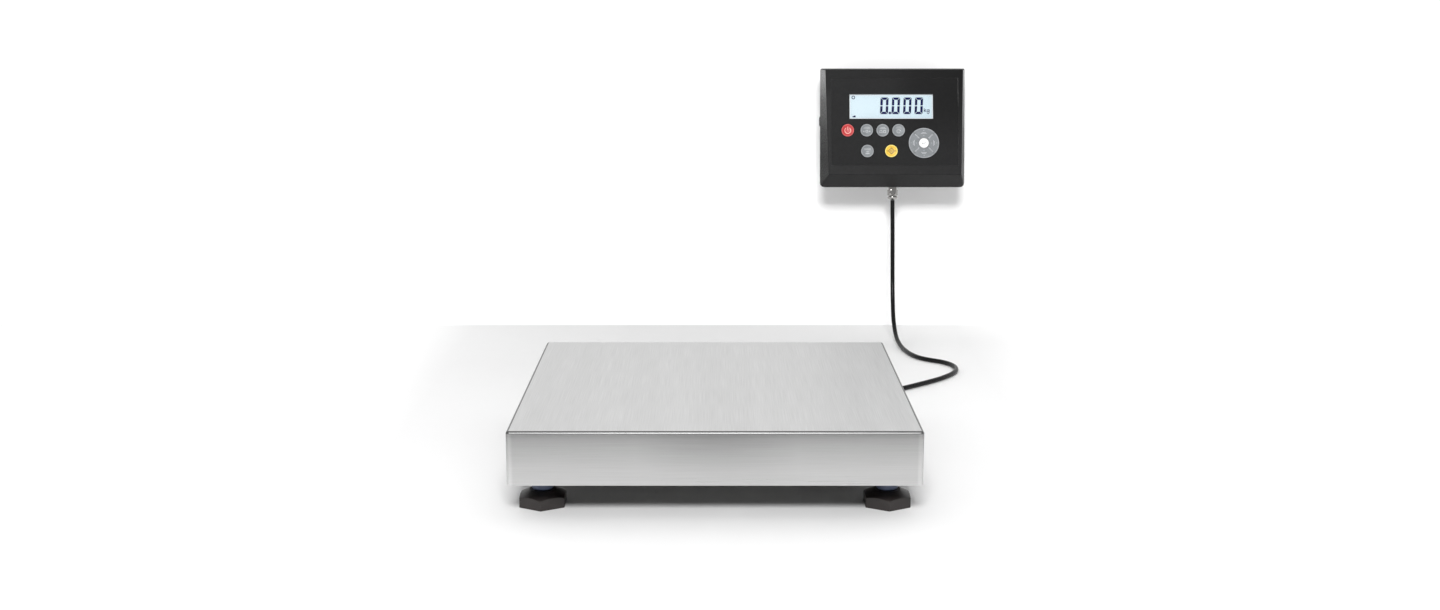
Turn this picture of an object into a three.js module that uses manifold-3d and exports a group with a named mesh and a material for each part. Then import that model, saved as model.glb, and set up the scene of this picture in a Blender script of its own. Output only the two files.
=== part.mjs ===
// Bench scale: a square stainless platter on a single-point load cell, four
// screw feet, and a separate indicator that hangs on a wall bracket behind the
// platform. One cable joins them. Millimetres, +Z up. The platform is laid out
// with x = 0 at its middle, y = 0 at the platter's front face and z = 0 on the
// bench; the last group moves that to the middle of the whole footprint.
import * as THREE from "three";
import { ConvexGeometry } from "three/addons/geometries/ConvexGeometry.js";
import { mergeVertices } from "three/addons/utils/BufferGeometryUtils.js";
import Module from "manifold-3d";

const wasm = await Module();
wasm.setup();

// ---- driving dimensions ----
const GAP = 0.3; // between pieces that touch
const RUNNING = 0.4; // round a shaft or screw

const platter = { side: 400, top: 86, sheet: 1.5, apronBottom: 32.5, cornerRadius: 3 };
const middleY = platter.side / 2;

const base = { bottom: 34, top: 52, sheet: 3, railX: 170, railWidth: 40, railInset: 22 };
const beam = { top: 46, halfWidth: 30 };
const cell = { length: 150, width: 30, height: 24, boltInset: 20, boltPitch: 20, spacer: 3 };
const boltRadius = 3;
const carrier = { barX: 148, barWidth: 36, barInset: 50, sheet: 3, flangeBottom: 62 };
const bumper = { radius: 12, insetY: 62 };
const stop = { x: 156, insetY: 84, radius: 3.5, gap: 0.6 };

const foot = { x: 170, insetY: 45, acrossFlats: 44.3, sideHeight: 10, padHeight: 16 };
const stud = { radius: 5, bottom: 8, top: 58 };
const collar = { radius: 11, top: 33.5 };

const wallY = 912; // the wall's face, seen from the platter's front face
const indicator = { x: 254.75, y: 855, z: 301, restTilt: 9 }; // middle of its rim
const rim = { halfWidth: 103.75, halfHeight: 85, topRadius: 2.5, bottomRadius: 6 };
const face = { topV: 80.5, topHalf: 97.75, topDepth: 24, bottomV: -69, bottomHalf: 93.75, bottomDepth: 40 };
const shellWall = 2.5;
const rear = { halfWidth: 94, halfHeight: 78, depth: 26, flange: 3 };
const pivot = { v: 10.3, depth: -14 };
const knob = { radius: 7.3, shaftRadius: 3, reach: 104.05 };
const bracket = { sheet: 2.5, halfWidth: 98, height: 44, armWidth: 20, holeX: 62 };

const overlay = { halfWidth: 90, top: 69, bottom: -55.5, thick: 0.8, recess: 1.2 };
const lcd = { u: -4.65, v: 28.5, width: 118, height: 35 };
const key = { radius: 8.8, ring: 0.6, proud: 0.5, thick: 2.5 };
const keys = [
  { name: "key_power", u: -66.55, v: -5.7, color: 0xd73c3c },
  { name: "key_zero", u: -39.65, v: -5.7, color: 0xa6a9ad },
  { name: "key_net", u: -17.05, v: -5.7, color: 0xa6a9ad },
  { name: "key_mode", u: 5.45, v: -5.7, color: 0xa6a9ad },
  { name: "key_print", u: -38.85, v: -35.3, color: 0xa6a9ad },
  { name: "key_tare", u: -4.95, v: -35.3, color: 0xf7d750 },
];
const nav = { u: 41.15, v: -23.9, radius: 21.4, hub: 6.9, split: 0.15, clearance: 0.5 };
const gland = { bodyRadius: 7.5, bodyLength: 10, nutLength: 14.5, x: 2.25, depth: -14 };
const baseGland = { x: 118, z: 22, plateY: 373, radius: 7.5 };

const cable = { radius: 3, sides: 8, steps: 64 };
// The cable's route from the indicator's gland, down, over the bench and back
// to the platform's gland.
const cableRoute = [
  [257, 852.7, 197], [257.1, 849.6, 177.3], [257.4, 846.4, 152], [257.7, 844.5, 126],
  [257.9, 841.5, 100], [257.9, 836, 74], [257.6, 825, 50], [257.2, 806, 28], [258.2, 779, 11.5],
  [261.3, 748, 4.6], [266.6, 714, 3.3], [273, 690, 3.3], [281.4, 674, 3.3], [293.5, 662, 3.3],
  [306, 652, 3.3], [315, 639, 3.3], [319.5, 624, 3.3], [319.5, 608, 3.3], [315, 592, 3.3],
  [305, 574, 3.3], [291, 555.5, 3.3], [275, 539, 3.3], [257, 522, 3.3], [237, 504, 3.3],
  [213, 485.5, 3.3], [188, 467, 3.5], [163, 448.5, 6], [140, 430, 12.4], [124.8, 412.5, 19],
  [119.4, 401.5, 21.5], [118, 391.4, 22],
];
// The load cell's own lead, held inside the base.
const leadRadius = 2;
const leadRoute = [
  [75.6, 200, 61], [88, 200, 59.5], [102, 203, 54], [112, 213, 50], [117, 230, 48.6],
  [118, 250, 43], [118, 275, 34], [118, 310, 25], [118, 340, 22.2], [118, 366.6, 22],
];

// ---- materials ----
function paint(color, roughness, metalness) {
  return new THREE.MeshStandardMaterial({ color, roughness, metalness });
}
const finish = {
  stainless: paint(0xc9c9c6, 0.35, 1),
  zinc: paint(0xb4b7bb, 0.4, 1),
  nickel: paint(0xc6c4bd, 0.18, 1),
  aluminium: paint(0xb9bcc0, 0.45, 1),
  baseCoat: paint(0x2b2c2e, 0.6, 0.2),
  rubber: paint(0x1d1c1c, 0.8, 0),
  footPlastic: paint(0x1f1b1a, 0.5, 0),
  collarPlastic: paint(0x323c55, 0.45, 0),
  housing: paint(0x2e2f30, 0.55, 0),
  overlayFilm: paint(0x2a2b2c, 0.5, 0),
  clear: paint(0xe6f4fb, 0.08, 0),
  lcdGlass: paint(0xdff2ff, 0.3, 0),
  board: paint(0x1d5c36, 0.5, 0),
  battery: paint(0x2a3f77, 0.5, 0),
  navGrey: paint(0x989da2, 0.5, 0),
  keyWhite: paint(0xf4f5f6, 0.45, 0),
  cableJacket: paint(0x141414, 0.45, 0),
  bubble: paint(0xb9dd4a, 0.1, 0),
};

// ---- solids ----
function toSolid(geometry) {
  const bare = geometry.clone();
  bare.deleteAttribute("normal");
  bare.deleteAttribute("uv");
  const merged = mergeVertices(bare, 1e-4);
  const vertProperties = new Float32Array(merged.attributes.position.array);
  const triVerts = new Uint32Array(merged.index.array);
  return new wasm.Manifold(new wasm.Mesh({ numProp: 3, vertProperties, triVerts }));
}

function toGeometry(solid) {
  const mesh = solid.getMesh();
  const geometry = new THREE.BufferGeometry();
  geometry.setAttribute("position", new THREE.BufferAttribute(mesh.vertProperties, 3));
  geometry.setIndex(new THREE.BufferAttribute(mesh.triVerts, 1));
  geometry.computeVertexNormals();
  return geometry;
}

function join(...parts) {
  return toGeometry(parts.map(toSolid).reduce((sum, solid) => sum.add(solid)));
}

function cut(body, ...tools) {
  return toGeometry(tools.map(toSolid).reduce((rest, tool) => rest.subtract(tool), toSolid(body)));
}

function common(first, second) {
  return toGeometry(toSolid(first).intersect(toSolid(second)));
}

function box([x0, x1], [y0, y1], [z0, z1]) {
  const block = new THREE.BoxGeometry(x1 - x0, y1 - y0, z1 - z0);
  return block.translate((x0 + x1) / 2, (y0 + y1) / 2, (z0 + z1) / 2);
}

// A round bar along Z.
function rod(radius, z0, z1, x = 0, y = 0, sides = 24) {
  const bar = new THREE.CylinderGeometry(radius, radius, z1 - z0, sides);
  return bar.rotateX(Math.PI / 2).translate(x, y, (z0 + z1) / 2);
}

// A round bar along Y, which is the way the indicator's face looks.
function rodY(radius, y0, y1, x, z, sides = 24) {
  const bar = new THREE.CylinderGeometry(radius, radius, y1 - y0, sides);
  return bar.translate(x, (y0 + y1) / 2, z);
}

function rodX(radius, x0, x1, y, z, sides = 24) {
  const bar = new THREE.CylinderGeometry(radius, radius, x1 - x0, sides);
  return bar.rotateZ(Math.PI / 2).translate((x0 + x1) / 2, y, z);
}

// An outline in XY drawn up from z0 to z1.
function prism(shape, z0, z1, curveSegments = 3) {
  const solid = new THREE.ExtrudeGeometry(shape, { depth: z1 - z0, bevelEnabled: false, curveSegments });
  return solid.translate(0, 0, z0);
}

function hexagon(acrossFlats) {
  const radius = acrossFlats / Math.sqrt(3);
  const corners = [];
  for (let i = 0; i < 6; i += 1) {
    const angle = Math.PI / 2 + (i * Math.PI) / 3;
    corners.push(new THREE.Vector2(radius * Math.cos(angle), radius * Math.sin(angle)));
  }
  return new THREE.Shape(corners);
}

function roundedSquare(half, radius) {
  const shape = new THREE.Shape();
  shape.moveTo(half - radius, -half);
  shape.absarc(half - radius, -half + radius, radius, -Math.PI / 2, 0);
  shape.absarc(half - radius, half - radius, radius, 0, Math.PI / 2);
  shape.absarc(-half + radius, half - radius, radius, Math.PI / 2, Math.PI);
  shape.absarc(-half + radius, -half + radius, radius, Math.PI, 1.5 * Math.PI);
  return shape;
}

// A profile of [radius, z] points turned round Z.
function turned(profile, sides = 24) {
  const points = profile.map(([radius, z]) => new THREE.Vector2(radius, z));
  return new THREE.LatheGeometry(points, sides).rotateX(Math.PI / 2);
}

// A round tube's solid along a smooth curve through the points.
function tube(points, radius, sides, steps) {
  const curve = new THREE.CatmullRomCurve3(points.map((point) => new THREE.Vector3(...point)));
  const section = new THREE.Shape();
  section.absarc(0, 0, radius, 0, 2 * Math.PI);
  // A full circle is drawn with twice as many sides as curveSegments says.
  const options = { extrudePath: curve, steps, curveSegments: sides / 2, bevelEnabled: false };
  return new THREE.ExtrudeGeometry(section, options);
}

function piece(name, geometry, material) {
  const mesh = new THREE.Mesh(geometry, material);
  mesh.name = name;
  return mesh;
}

// The four corners of the platform, as signs of x and of y from its middle.
const corners = [[-1, -1], [1, -1], [1, 1], [-1, 1]];

// ---- platter ----
function makePlatter() {
  const half = platter.side / 2;
  const outer = prism(roundedSquare(half, platter.cornerRadius), platter.apronBottom, platter.top);
  const inside = roundedSquare(half - platter.sheet, platter.cornerRadius - platter.sheet);
  const hollow = prism(inside, platter.apronBottom - 1, platter.top - platter.sheet);
  const cover = cut(outer, hollow).translate(0, middleY, 0);
  return piece("platter", cover, finish.stainless);
}

// ---- base frame: two side rails and a cross beam, channels open below ----
function railBoxes(grow, top, bottom) {
  const half = base.railWidth / 2 - grow;
  const ends = [base.railInset + grow, platter.side - base.railInset - grow];
  return [-1, 1].map((side) => {
    const x = side * base.railX;
    return box([x - half, x + half], ends, [bottom, top]);
  });
}

const beamY = [middleY - beam.halfWidth, middleY + beam.halfWidth];
const glandPlateX = [baseGland.x - 14, base.railX - base.railWidth / 2 + 5];

function makeBaseFrame() {
  const reach = base.railX;
  const crossBeam = box([-reach, reach], beamY, [base.bottom, beam.top]);
  const crossHollow = box(
    [-reach + 5, reach - 5],
    [beamY[0] + base.sheet, beamY[1] - base.sheet],
    [base.bottom - 1, beam.top - base.sheet],
  );
  const glandPlate = box(
    glandPlateX,
    [baseGland.plateY, baseGland.plateY + base.sheet],
    [baseGland.z - 7.5, base.top],
  );
  const hollows = railBoxes(base.sheet, base.top - base.sheet, base.bottom - 1);
  const shell = cut(join(...railBoxes(0, base.top, base.bottom), crossBeam), ...hollows, crossHollow);
  const bosses = corners.map(([sx, sy]) => {
    const y = middleY + sy * (middleY - foot.insetY);
    return rod(10, base.top - 12, base.top, sx * foot.x, y, 20);
  });
  const studHoles = corners.map(([sx, sy]) => {
    const y = middleY + sy * (middleY - foot.insetY);
    return rod(stud.radius + RUNNING, base.bottom, base.top + 1, sx * foot.x, y, 20);
  });
  const boltHoles = boltPlaces.slice(0, 2).map(([x, y]) => {
    return rod(boltRadius + RUNNING, base.bottom, beam.top + 1, x, y, 16);
  });
  const glandHole = rodY(5.4, baseGland.plateY - 1, baseGland.plateY + base.sheet + 1,
    baseGland.x, baseGland.z, 20);
  return piece("base_frame", cut(join(shell, glandPlate, ...bosses), ...studHoles, ...boltHoles, glandHole),
    finish.baseCoat);
}

// ---- load cell, its spacers and bolts ----
const cellBottom = beam.top + 2 * GAP + cell.spacer;
const cellTop = cellBottom + cell.height;
const fixedX = cell.length / 2 - cell.boltInset;
// The first two bolts hold the fixed end to the base, the last two the free
// end to the load carrier.
const boltPlaces = [
  [fixedX, middleY - cell.boltPitch / 2 + 2],
  [fixedX, middleY + cell.boltPitch / 2 - 2],
  [-fixedX, middleY - cell.boltPitch / 2 + 2],
  [-fixedX, middleY + cell.boltPitch / 2 - 2],
];
const carrierTop = cellTop + 2 * GAP + cell.spacer + carrier.sheet;
const boltGrip = 9; // length of screw inside the load cell

function makeLoadCell() {
  const half = cell.length / 2;
  const middleZ = (cellBottom + cellTop) / 2;
  const y = [middleY - cell.width / 2, middleY + cell.width / 2];
  const body = box([-half, half], y, [cellBottom, cellTop]);
  const bores = [-16, 16].map((x) => rodY(9, y[0] - 1, y[1] + 1, x, middleZ, 20));
  const slot = box([-16, 16], [y[0] - 1, y[1] + 1], [middleZ - 2, middleZ + 2]);
  const taps = boltPlaces.map(([x, boltY], i) => {
    const low = i < 2 ? cellBottom - 1 : cellTop - boltGrip - 1;
    return rod(boltRadius + RUNNING, low, low + boltGrip + 2, x, boltY, 16);
  });
  return piece("load_cell", cut(body, ...bores, slot, ...taps), finish.aluminium);
}

function makeSpacer(name, x, bottom, holes) {
  const block = box([x - 20, x + 20], [middleY - 15, middleY + 15], [bottom, bottom + cell.spacer]);
  const drills = holes.map(([hx, hy]) => rod(boltRadius + RUNNING, bottom - 1, bottom + 5, hx, hy, 16));
  return piece(name, cut(block, ...drills), finish.zinc);
}

function makeBolt(index) {
  const [x, y] = boltPlaces[index];
  const fromBelow = index < 2;
  const seat = fromBelow ? beam.top - base.sheet - GAP : carrierTop + GAP;
  const end = fromBelow ? cellBottom + boltGrip : cellTop - boltGrip;
  const head = fromBelow ? [seat - 5.5, seat] : [seat, seat + 3.2];
  const shank = fromBelow ? [seat - 1, end] : [end, seat + 1];
  const bolt = join(rod(5, ...head, x, y, 16), rod(boltRadius, ...shank, x, y, 16));
  return piece(`load_cell_bolt_${index + 1}`, bolt, finish.zinc);
}

// ---- load carrier under the platter ----
function carrierBoxes(grow, top, bottom) {
  const half = carrier.barWidth / 2 - grow;
  const ends = [carrier.barInset + grow, platter.side - carrier.barInset - grow];
  const bars = [-1, 1].map((side) => {
    const x = side * carrier.barX;
    return box([x - half, x + half], ends, [bottom, top]);
  });
  const link = box([-carrier.barX, carrier.barX], [beamY[0] + grow, beamY[1] - grow], [bottom, top]);
  return [...bars, link];
}

function makeCarrier() {
  const outer = join(...carrierBoxes(0, carrierTop, carrier.flangeBottom));
  const inner = join(...carrierBoxes(carrier.sheet, carrierTop - carrier.sheet, carrier.flangeBottom - 1));
  const holes = boltPlaces.slice(2).map(([x, y]) => {
    return rod(boltRadius + RUNNING, carrierTop - 5, carrierTop + 1, x, y, 16);
  });
  return piece("load_frame", cut(outer, inner, ...holes), finish.baseCoat);
}

function makeBumper(index) {
  const [sx, sy] = corners[index];
  const y = middleY + sy * (middleY - bumper.insetY);
  const bottom = carrierTop + GAP;
  const top = platter.top - platter.sheet - GAP;
  return piece(`bumper_${index + 1}`, rod(bumper.radius, bottom, top, sx * carrier.barX, y, 20),
    finish.rubber);
}

function makeOverloadStop(index) {
  const [sx, sy] = corners[index];
  const y = middleY + sy * (middleY - stop.insetY);
  const top = carrierTop - carrier.sheet - stop.gap;
  const bottom = base.top + GAP;
  const nut = prism(hexagon(11), bottom, bottom + 5.5).translate(sx * stop.x, y, 0);
  const screw = rod(stop.radius, bottom, top, sx * stop.x, y, 16);
  return piece(`overload_stop_${index + 1}`, join(nut, screw), finish.zinc);
}

// ---- screw feet ----
function makeFoot(index) {
  const [sx, sy] = corners[index];
  const x = sx * foot.x;
  const y = middleY + sy * (middleY - foot.insetY);
  const dome = turned([[0, 0], [25.4, 0], [25.4, foot.sideHeight], [collar.radius + 2, foot.padHeight],
    [0, foot.padHeight]], 36);
  const socket = rod(stud.radius + RUNNING, stud.bottom - GAP, foot.padHeight + 1, 0, 0, 20);
  const pad = cut(common(prism(hexagon(foot.acrossFlats), 0, foot.padHeight), dome), socket);
  const bottom = foot.padHeight + GAP;
  const ring = turned([[stud.radius + RUNNING, bottom], [collar.radius - 2.5, bottom],
    [collar.radius, bottom + 2.5], [collar.radius, collar.top], [stud.radius + RUNNING, collar.top],
    [stud.radius + RUNNING, bottom]], 24);
  const number = index + 1;
  return [
    piece(`foot_pad_${number}`, pad.translate(x, y, 0), finish.footPlastic),
    piece(`foot_collar_${number}`, ring.translate(x, y, 0), finish.collarPlastic),
    piece(`foot_stud_${number}`, rod(stud.radius, stud.bottom, stud.top, x, y, 20), finish.zinc),
  ];
}

// ---- bubble level on the left rail ----
function makeBubbleLevel() {
  const x = -179;
  const bottom = base.top + GAP;
  const cup = cut(rod(8, bottom, bottom + 8, x, middleY), rod(6, bottom + 1.5, bottom + 9, x, middleY));
  const vial = rod(6 - GAP, bottom + 1.5 + GAP, bottom + 7.5, x, middleY);
  return [piece("bubble_level_housing", cup, finish.zinc), piece("bubble_level_vial", vial, finish.bubble)];
}

// ---- base gland and cables ----
function makeBaseGland() {
  const plate = baseGland.plateY;
  const outside = plate + base.sheet + GAP;
  const { x, z } = baseGland;
  const neck = rodY(5, plate - 6, outside + 1, x, z, 20);
  const lockNut = rodY(baseGland.radius, plate - 5, plate - GAP, x, z, 6);
  const dome = rodY(baseGland.radius, outside, plate + 18, x, z, 24);
  const bore = rodY(cable.radius + RUNNING, plate - 8, plate + 20, x, z, 16);
  return piece("base_cable_gland", cut(join(neck, lockNut, dome), bore), finish.nickel);
}

function makeCables() {
  const lead = tube(leadRoute, leadRadius, 8, 30);
  const free = tube(cableRoute, cable.radius, cable.sides, cable.steps);
  return [
    piece("load_cell_lead", lead, finish.cableJacket),
    piece("load_cell_cable", free, finish.cableJacket),
  ];
}

// ---- indicator: its own frame has its origin in the middle of the rim, X to
// the right, Z up the rim and -Y out of the face ----
function rimLoop(inset, depth) {
  const half = rim.halfWidth - inset;
  const high = rim.halfHeight - inset;
  const turns = [
    [1, -1, Math.max(rim.bottomRadius - inset, 1), -90],
    [1, 1, Math.max(rim.topRadius - inset, 1), 0],
    [-1, 1, Math.max(rim.topRadius - inset, 1), 90],
    [-1, -1, Math.max(rim.bottomRadius - inset, 1), 180],
  ];
  const points = [];
  for (const [sx, sz, radius, start] of turns) {
    for (const step of [0, 30, 60, 90]) {
      const angle = THREE.MathUtils.degToRad(start + step);
      const x = sx * (half - radius) + radius * Math.cos(angle);
      const z = sz * (high - radius) + radius * Math.sin(angle);
      points.push(new THREE.Vector3(x, -depth, z));
    }
  }
  return points;
}

function faceCorners(inset) {
  return [-1, 1].flatMap((side) => [
    new THREE.Vector3(side * (face.topHalf - inset), -face.topDepth + inset, face.topV - inset),
    new THREE.Vector3(side * (face.bottomHalf - inset), -face.bottomDepth + inset, face.bottomV + inset),
  ]);
}

const wedge = Math.atan2(face.bottomDepth - face.topDepth, face.topV - face.bottomV);
const faceDepth = face.topDepth + face.topV * Math.tan(wedge);

// The face's own frame: origin on the face, X right, Z up it, -Y out of it.
function onFace(geometry) {
  return geometry.rotateX(-wedge).translate(0, -faceDepth, 0);
}

function faceBox(u, v, depth) {
  return onFace(box(u, [depth[0], depth[1]], v));
}

function faceRod(radius, depth, u, v, sides = 32) {
  return onFace(rodY(radius, depth[0], depth[1], u, v, sides));
}

const sides = [-1, 1];

function makeFrontShell() {
  const outer = new ConvexGeometry([...rimLoop(0, 0), ...faceCorners(0)]);
  const inner = new ConvexGeometry([...rimLoop(shellWall, -1), ...faceCorners(shellWall)]);
  const recess = faceBox(
    [-overlay.halfWidth - GAP, overlay.halfWidth + GAP],
    [overlay.bottom - GAP, overlay.top + GAP],
    [-1, overlay.recess],
  );
  const window = faceBox(
    [lcd.u - lcd.width / 2 - GAP, lcd.u + lcd.width / 2 + GAP],
    [lcd.v - lcd.height / 2 - GAP, lcd.v + lcd.height / 2 + GAP],
    [-1, 6],
  );
  const holes = keys.map(({ u, v }) => faceRod(key.radius + key.ring, [-1, 6], u, v));
  const navHole = faceRod(nav.radius + key.ring, [-1, 6], nav.u, nav.v, 48);
  return piece("front_shell", cut(cut(outer, inner), recess, window, ...holes, navHole), finish.housing);
}

function makeOverlay() {
  const sheet = faceBox(
    [-overlay.halfWidth, overlay.halfWidth],
    [overlay.bottom, overlay.top],
    [overlay.recess - GAP - overlay.thick, overlay.recess - GAP],
  );
  const window = faceBox(
    [lcd.u - lcd.width / 2 - GAP, lcd.u + lcd.width / 2 + GAP],
    [lcd.v - lcd.height / 2 - GAP, lcd.v + lcd.height / 2 + GAP],
    [-1, 3],
  );
  const holes = keys.map(({ u, v }) => faceRod(key.radius + key.ring, [-1, 3], u, v));
  const navHole = faceRod(nav.radius + key.ring, [-1, 3], nav.u, nav.v, 48);
  return piece("keypad_overlay", cut(sheet, window, ...holes, navHole), finish.overlayFilm);
}

function makeDisplay() {
  const halfWidth = lcd.width / 2;
  const halfHeight = lcd.height / 2;
  const pane = faceBox(
    [lcd.u - halfWidth, lcd.u + halfWidth],
    [lcd.v - halfHeight, lcd.v + halfHeight],
    [0.5, 2.1],
  );
  const module = faceBox(
    [lcd.u - halfWidth - 5, lcd.u + halfWidth + 5],
    [lcd.v - halfHeight - 5, lcd.v + halfHeight + 6],
    [shellWall + 0.8, shellWall + 7.8],
  );
  return [piece("display_window", pane, finish.clear), piece("lcd_module", module, finish.lcdGlass)];
}

function makeKeys() {
  const depth = [-key.proud, key.thick - key.proud];
  const round = keys.map(({ name, u, v, color }) => {
    return piece(name, faceRod(key.radius, depth, u, v, 24), paint(color, 0.45, 0));
  });
  const hub = faceRod(nav.hub, depth, nav.u, nav.v, 24);
  return [...round, piece("key_enter", hub, finish.keyWhite), ...makeNavKeys(depth)];
}

// Four quarter keys round the enter key, split along the diagonals.
function makeNavKeys(depth) {
  const names = ["key_right", "key_up", "key_left", "key_down"];
  const inner = nav.hub + nav.clearance;
  return names.map((name, quarter) => {
    const middle = (quarter * Math.PI) / 2;
    const outerSkip = Math.asin(nav.split / nav.radius);
    const innerSkip = Math.asin(nav.split / inner);
    const shape = new THREE.Shape();
    const eighth = Math.PI / 4;
    shape.absarc(0, 0, nav.radius, middle - eighth + outerSkip, middle + eighth - outerSkip, false);
    shape.absarc(0, 0, inner, middle + eighth - innerSkip, middle - eighth + innerSkip, true);
    shape.closePath();
    const sector = prism(shape, 0, depth[1] - depth[0], 6);
    // The extrusion rises along Z; turned so that it looks out of the face.
    const standing = sector.rotateX(Math.PI / 2).translate(nav.u, depth[1], nav.v);
    return piece(name, onFace(standing), finish.navGrey);
  });
}

function makeInside() {
  const circuit = faceBox([-84, 84], [overlay.bottom + 2, 5], [shellWall + 1.2, shellWall + 2]);
  const board = faceBox([-84, 84], [-52, 60], [14, 15.6]);
  const battery = box([-45, 45], [3, 20], [-66, -20]);
  return [
    piece("keypad_circuit", circuit, finish.overlayFilm),
    piece("main_board", board, finish.board),
    piece("battery_pack", battery, finish.battery),
  ];
}

function makeRearShell() {
  const flange = new ConvexGeometry([...rimLoop(0, -GAP), ...rimLoop(0.6, -GAP - rear.flange)]);
  const tub = box(
    [-rear.halfWidth, rear.halfWidth],
    [GAP, rear.depth],
    [-rear.halfHeight, rear.halfHeight],
  );
  const hollow = box(
    [-rear.halfWidth + shellWall, rear.halfWidth - shellWall],
    [GAP - 1, rear.depth - shellWall],
    [-rear.halfHeight + shellWall, rear.halfHeight - shellWall],
  );
  const bosses = sides.map((side) => {
    const ends = [side * (rear.halfWidth - 12), side * (rear.halfWidth - 1)].sort((a, b) => a - b);
    return rodX(6.5, ends[0], ends[1], -pivot.depth, pivot.v, 20);
  });
  const threads = sides.map((side) => {
    const ends = [side * (rear.halfWidth - 9), side * (rear.halfWidth + 1)].sort((a, b) => a - b);
    return rodX(knob.shaftRadius + RUNNING, ends[0], ends[1], -pivot.depth, pivot.v, 20);
  });
  const glandHole = rod(5.4, -rear.halfHeight - 1, -rear.halfHeight + 4, gland.x, -gland.depth, 20);
  const socketHole = rod(4.4, -rear.halfHeight - 1, -rear.halfHeight + 4, 40, -gland.depth, 16);
  const shell = cut(join(flange, tub), hollow);
  return piece("rear_shell", cut(join(shell, ...bosses), ...threads, glandHole, socketHole), finish.housing);
}

function makeIndicatorGland() {
  const top = -rear.halfHeight - GAP;
  const bodyEnd = top - gland.bodyLength;
  const nutEnd = bodyEnd - gland.nutLength;
  const bore = (low, high) => rod(cable.radius + RUNNING, low, high, 0, 0, 16);
  const neck = rod(5, top - 1, top + shellWall + 3, 0, 0, 20);
  const flats = prism(hexagon(2 * gland.bodyRadius - 1), bodyEnd, top);
  const body = cut(join(flats, neck), bore(bodyEnd - 1, top + 8));
  const hole = cable.radius + RUNNING;
  const nut = turned([[hole, nutEnd], [4.6, nutEnd], [gland.bodyRadius, nutEnd + 6],
    [gland.bodyRadius, bodyEnd - GAP], [hole, bodyEnd - GAP], [hole, nutEnd]], 24);
  const place = (geometry) => geometry.translate(gland.x, -gland.depth, 0);
  return [
    piece("gland_body", place(body), finish.nickel),
    piece("gland_nut", place(nut), finish.nickel),
  ];
}

function makePowerSocket() {
  const bottom = -rear.halfHeight;
  const barrel = join(
    rod(4, bottom - 0.8, bottom + 9, 0, 0, 16),
    rod(6, bottom - 1.8, bottom - GAP, 0, 0, 20),
  );
  const socket = cut(barrel, rod(2.6, bottom - 3, bottom + 6, 0, 0, 16));
  return piece("power_socket", socket.translate(40, -gland.depth, 0), finish.rubber);
}

function makeKnobs() {
  return sides.map((side) => {
    const inner = bracket.halfWidth + GAP;
    const rings = [[inner, knob.reach], [rear.halfWidth - 7, inner + 1]];
    const [head, shaft] = rings.map((span) => span.map((x) => side * x).sort((a, b) => a - b));
    const solid = join(
      rodX(knob.radius, ...head, 0, 0, 24),
      rodX(knob.shaftRadius, ...shaft, 0, 0, 20),
    );
    const name = side < 0 ? "tilt_knob_left" : "tilt_knob_right";
    return piece(name, solid.translate(0, -pivot.depth, pivot.v), finish.footPlastic);
  });
}

// ---- wall bracket: a U of sheet with its ends on the pivot screws ----
function makeBracket(pivotY, pivotZ) {
  const low = pivotZ - bracket.height / 2;
  const high = pivotZ + bracket.height / 2;
  const x = [indicator.x - bracket.halfWidth, indicator.x + bracket.halfWidth];
  const plate = box(x, [wallY - bracket.sheet, wallY], [low, high]);
  const arms = sides.map((side) => {
    const outer = indicator.x + side * bracket.halfWidth;
    const span = [outer, outer - side * bracket.sheet].sort((a, b) => a - b);
    const halfArm = bracket.armWidth / 2;
    const strip = box(span, [pivotY, wallY], [pivotZ - halfArm, pivotZ + halfArm]);
    const eye = rodX(halfArm, ...span, pivotY, pivotZ, 24);
    return join(strip, eye);
  });
  const pivotHoles = sides.map((side) => {
    const outer = indicator.x + side * bracket.halfWidth;
    return rodX(knob.shaftRadius + RUNNING, outer - 4, outer + 4, pivotY, pivotZ, 20);
  });
  const wallHoles = sides.map((side) => {
    return rodY(3, wallY - 5, wallY + 1, indicator.x + side * bracket.holeX, pivotZ, 16);
  });
  return piece("wall_bracket", cut(join(plate, ...arms), ...pivotHoles, ...wallHoles), finish.zinc);
}

// ---- assembly ----
const boltNumbers = [0, 1, 2, 3];
const platform = new THREE.Group();
platform.add(
  makeBaseFrame(),
  makeLoadCell(),
  makeSpacer("lower_spacer", fixedX, beam.top + GAP, boltPlaces.slice(0, 2)),
  makeSpacer("upper_spacer", -fixedX, cellTop + GAP, boltPlaces.slice(2)),
  ...boltNumbers.map(makeBolt),
  makeCarrier(),
  ...corners.map((_, index) => makeBumper(index)),
  ...corners.map((_, index) => makeOverloadStop(index)),
  ...corners.flatMap((_, index) => makeFoot(index)),
  ...makeBubbleLevel(),
  makeBaseGland(),
  ...makeCables(),
  makePlatter(),
);

const tilt = THREE.MathUtils.degToRad(indicator.restTilt);
const head = new THREE.Group();
head.position.set(indicator.x, indicator.y, indicator.z);
head.rotation.x = -tilt;
head.add(
  makeFrontShell(),
  makeRearShell(),
  makeOverlay(),
  ...makeDisplay(),
  ...makeKeys(),
  ...makeInside(),
  ...makeIndicatorGland(),
  makePowerSocket(),
  ...makeKnobs(),
);

const pivotPoint = new THREE.Vector3(0, -pivot.depth, pivot.v);
pivotPoint.applyAxisAngle(new THREE.Vector3(1, 0, 0), -tilt);
const pivotY = indicator.y + pivotPoint.y;
const pivotZ = indicator.z + pivotPoint.z;

const left = -platter.side / 2;
const right = indicator.x + knob.reach;
const scale = new THREE.Group();
scale.add(platform, head, makeBracket(pivotY, pivotZ));
scale.position.set(-(left + right) / 2, -wallY / 2, 0);

const group = new THREE.Group();
group.add(scale);
export default group;
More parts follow.
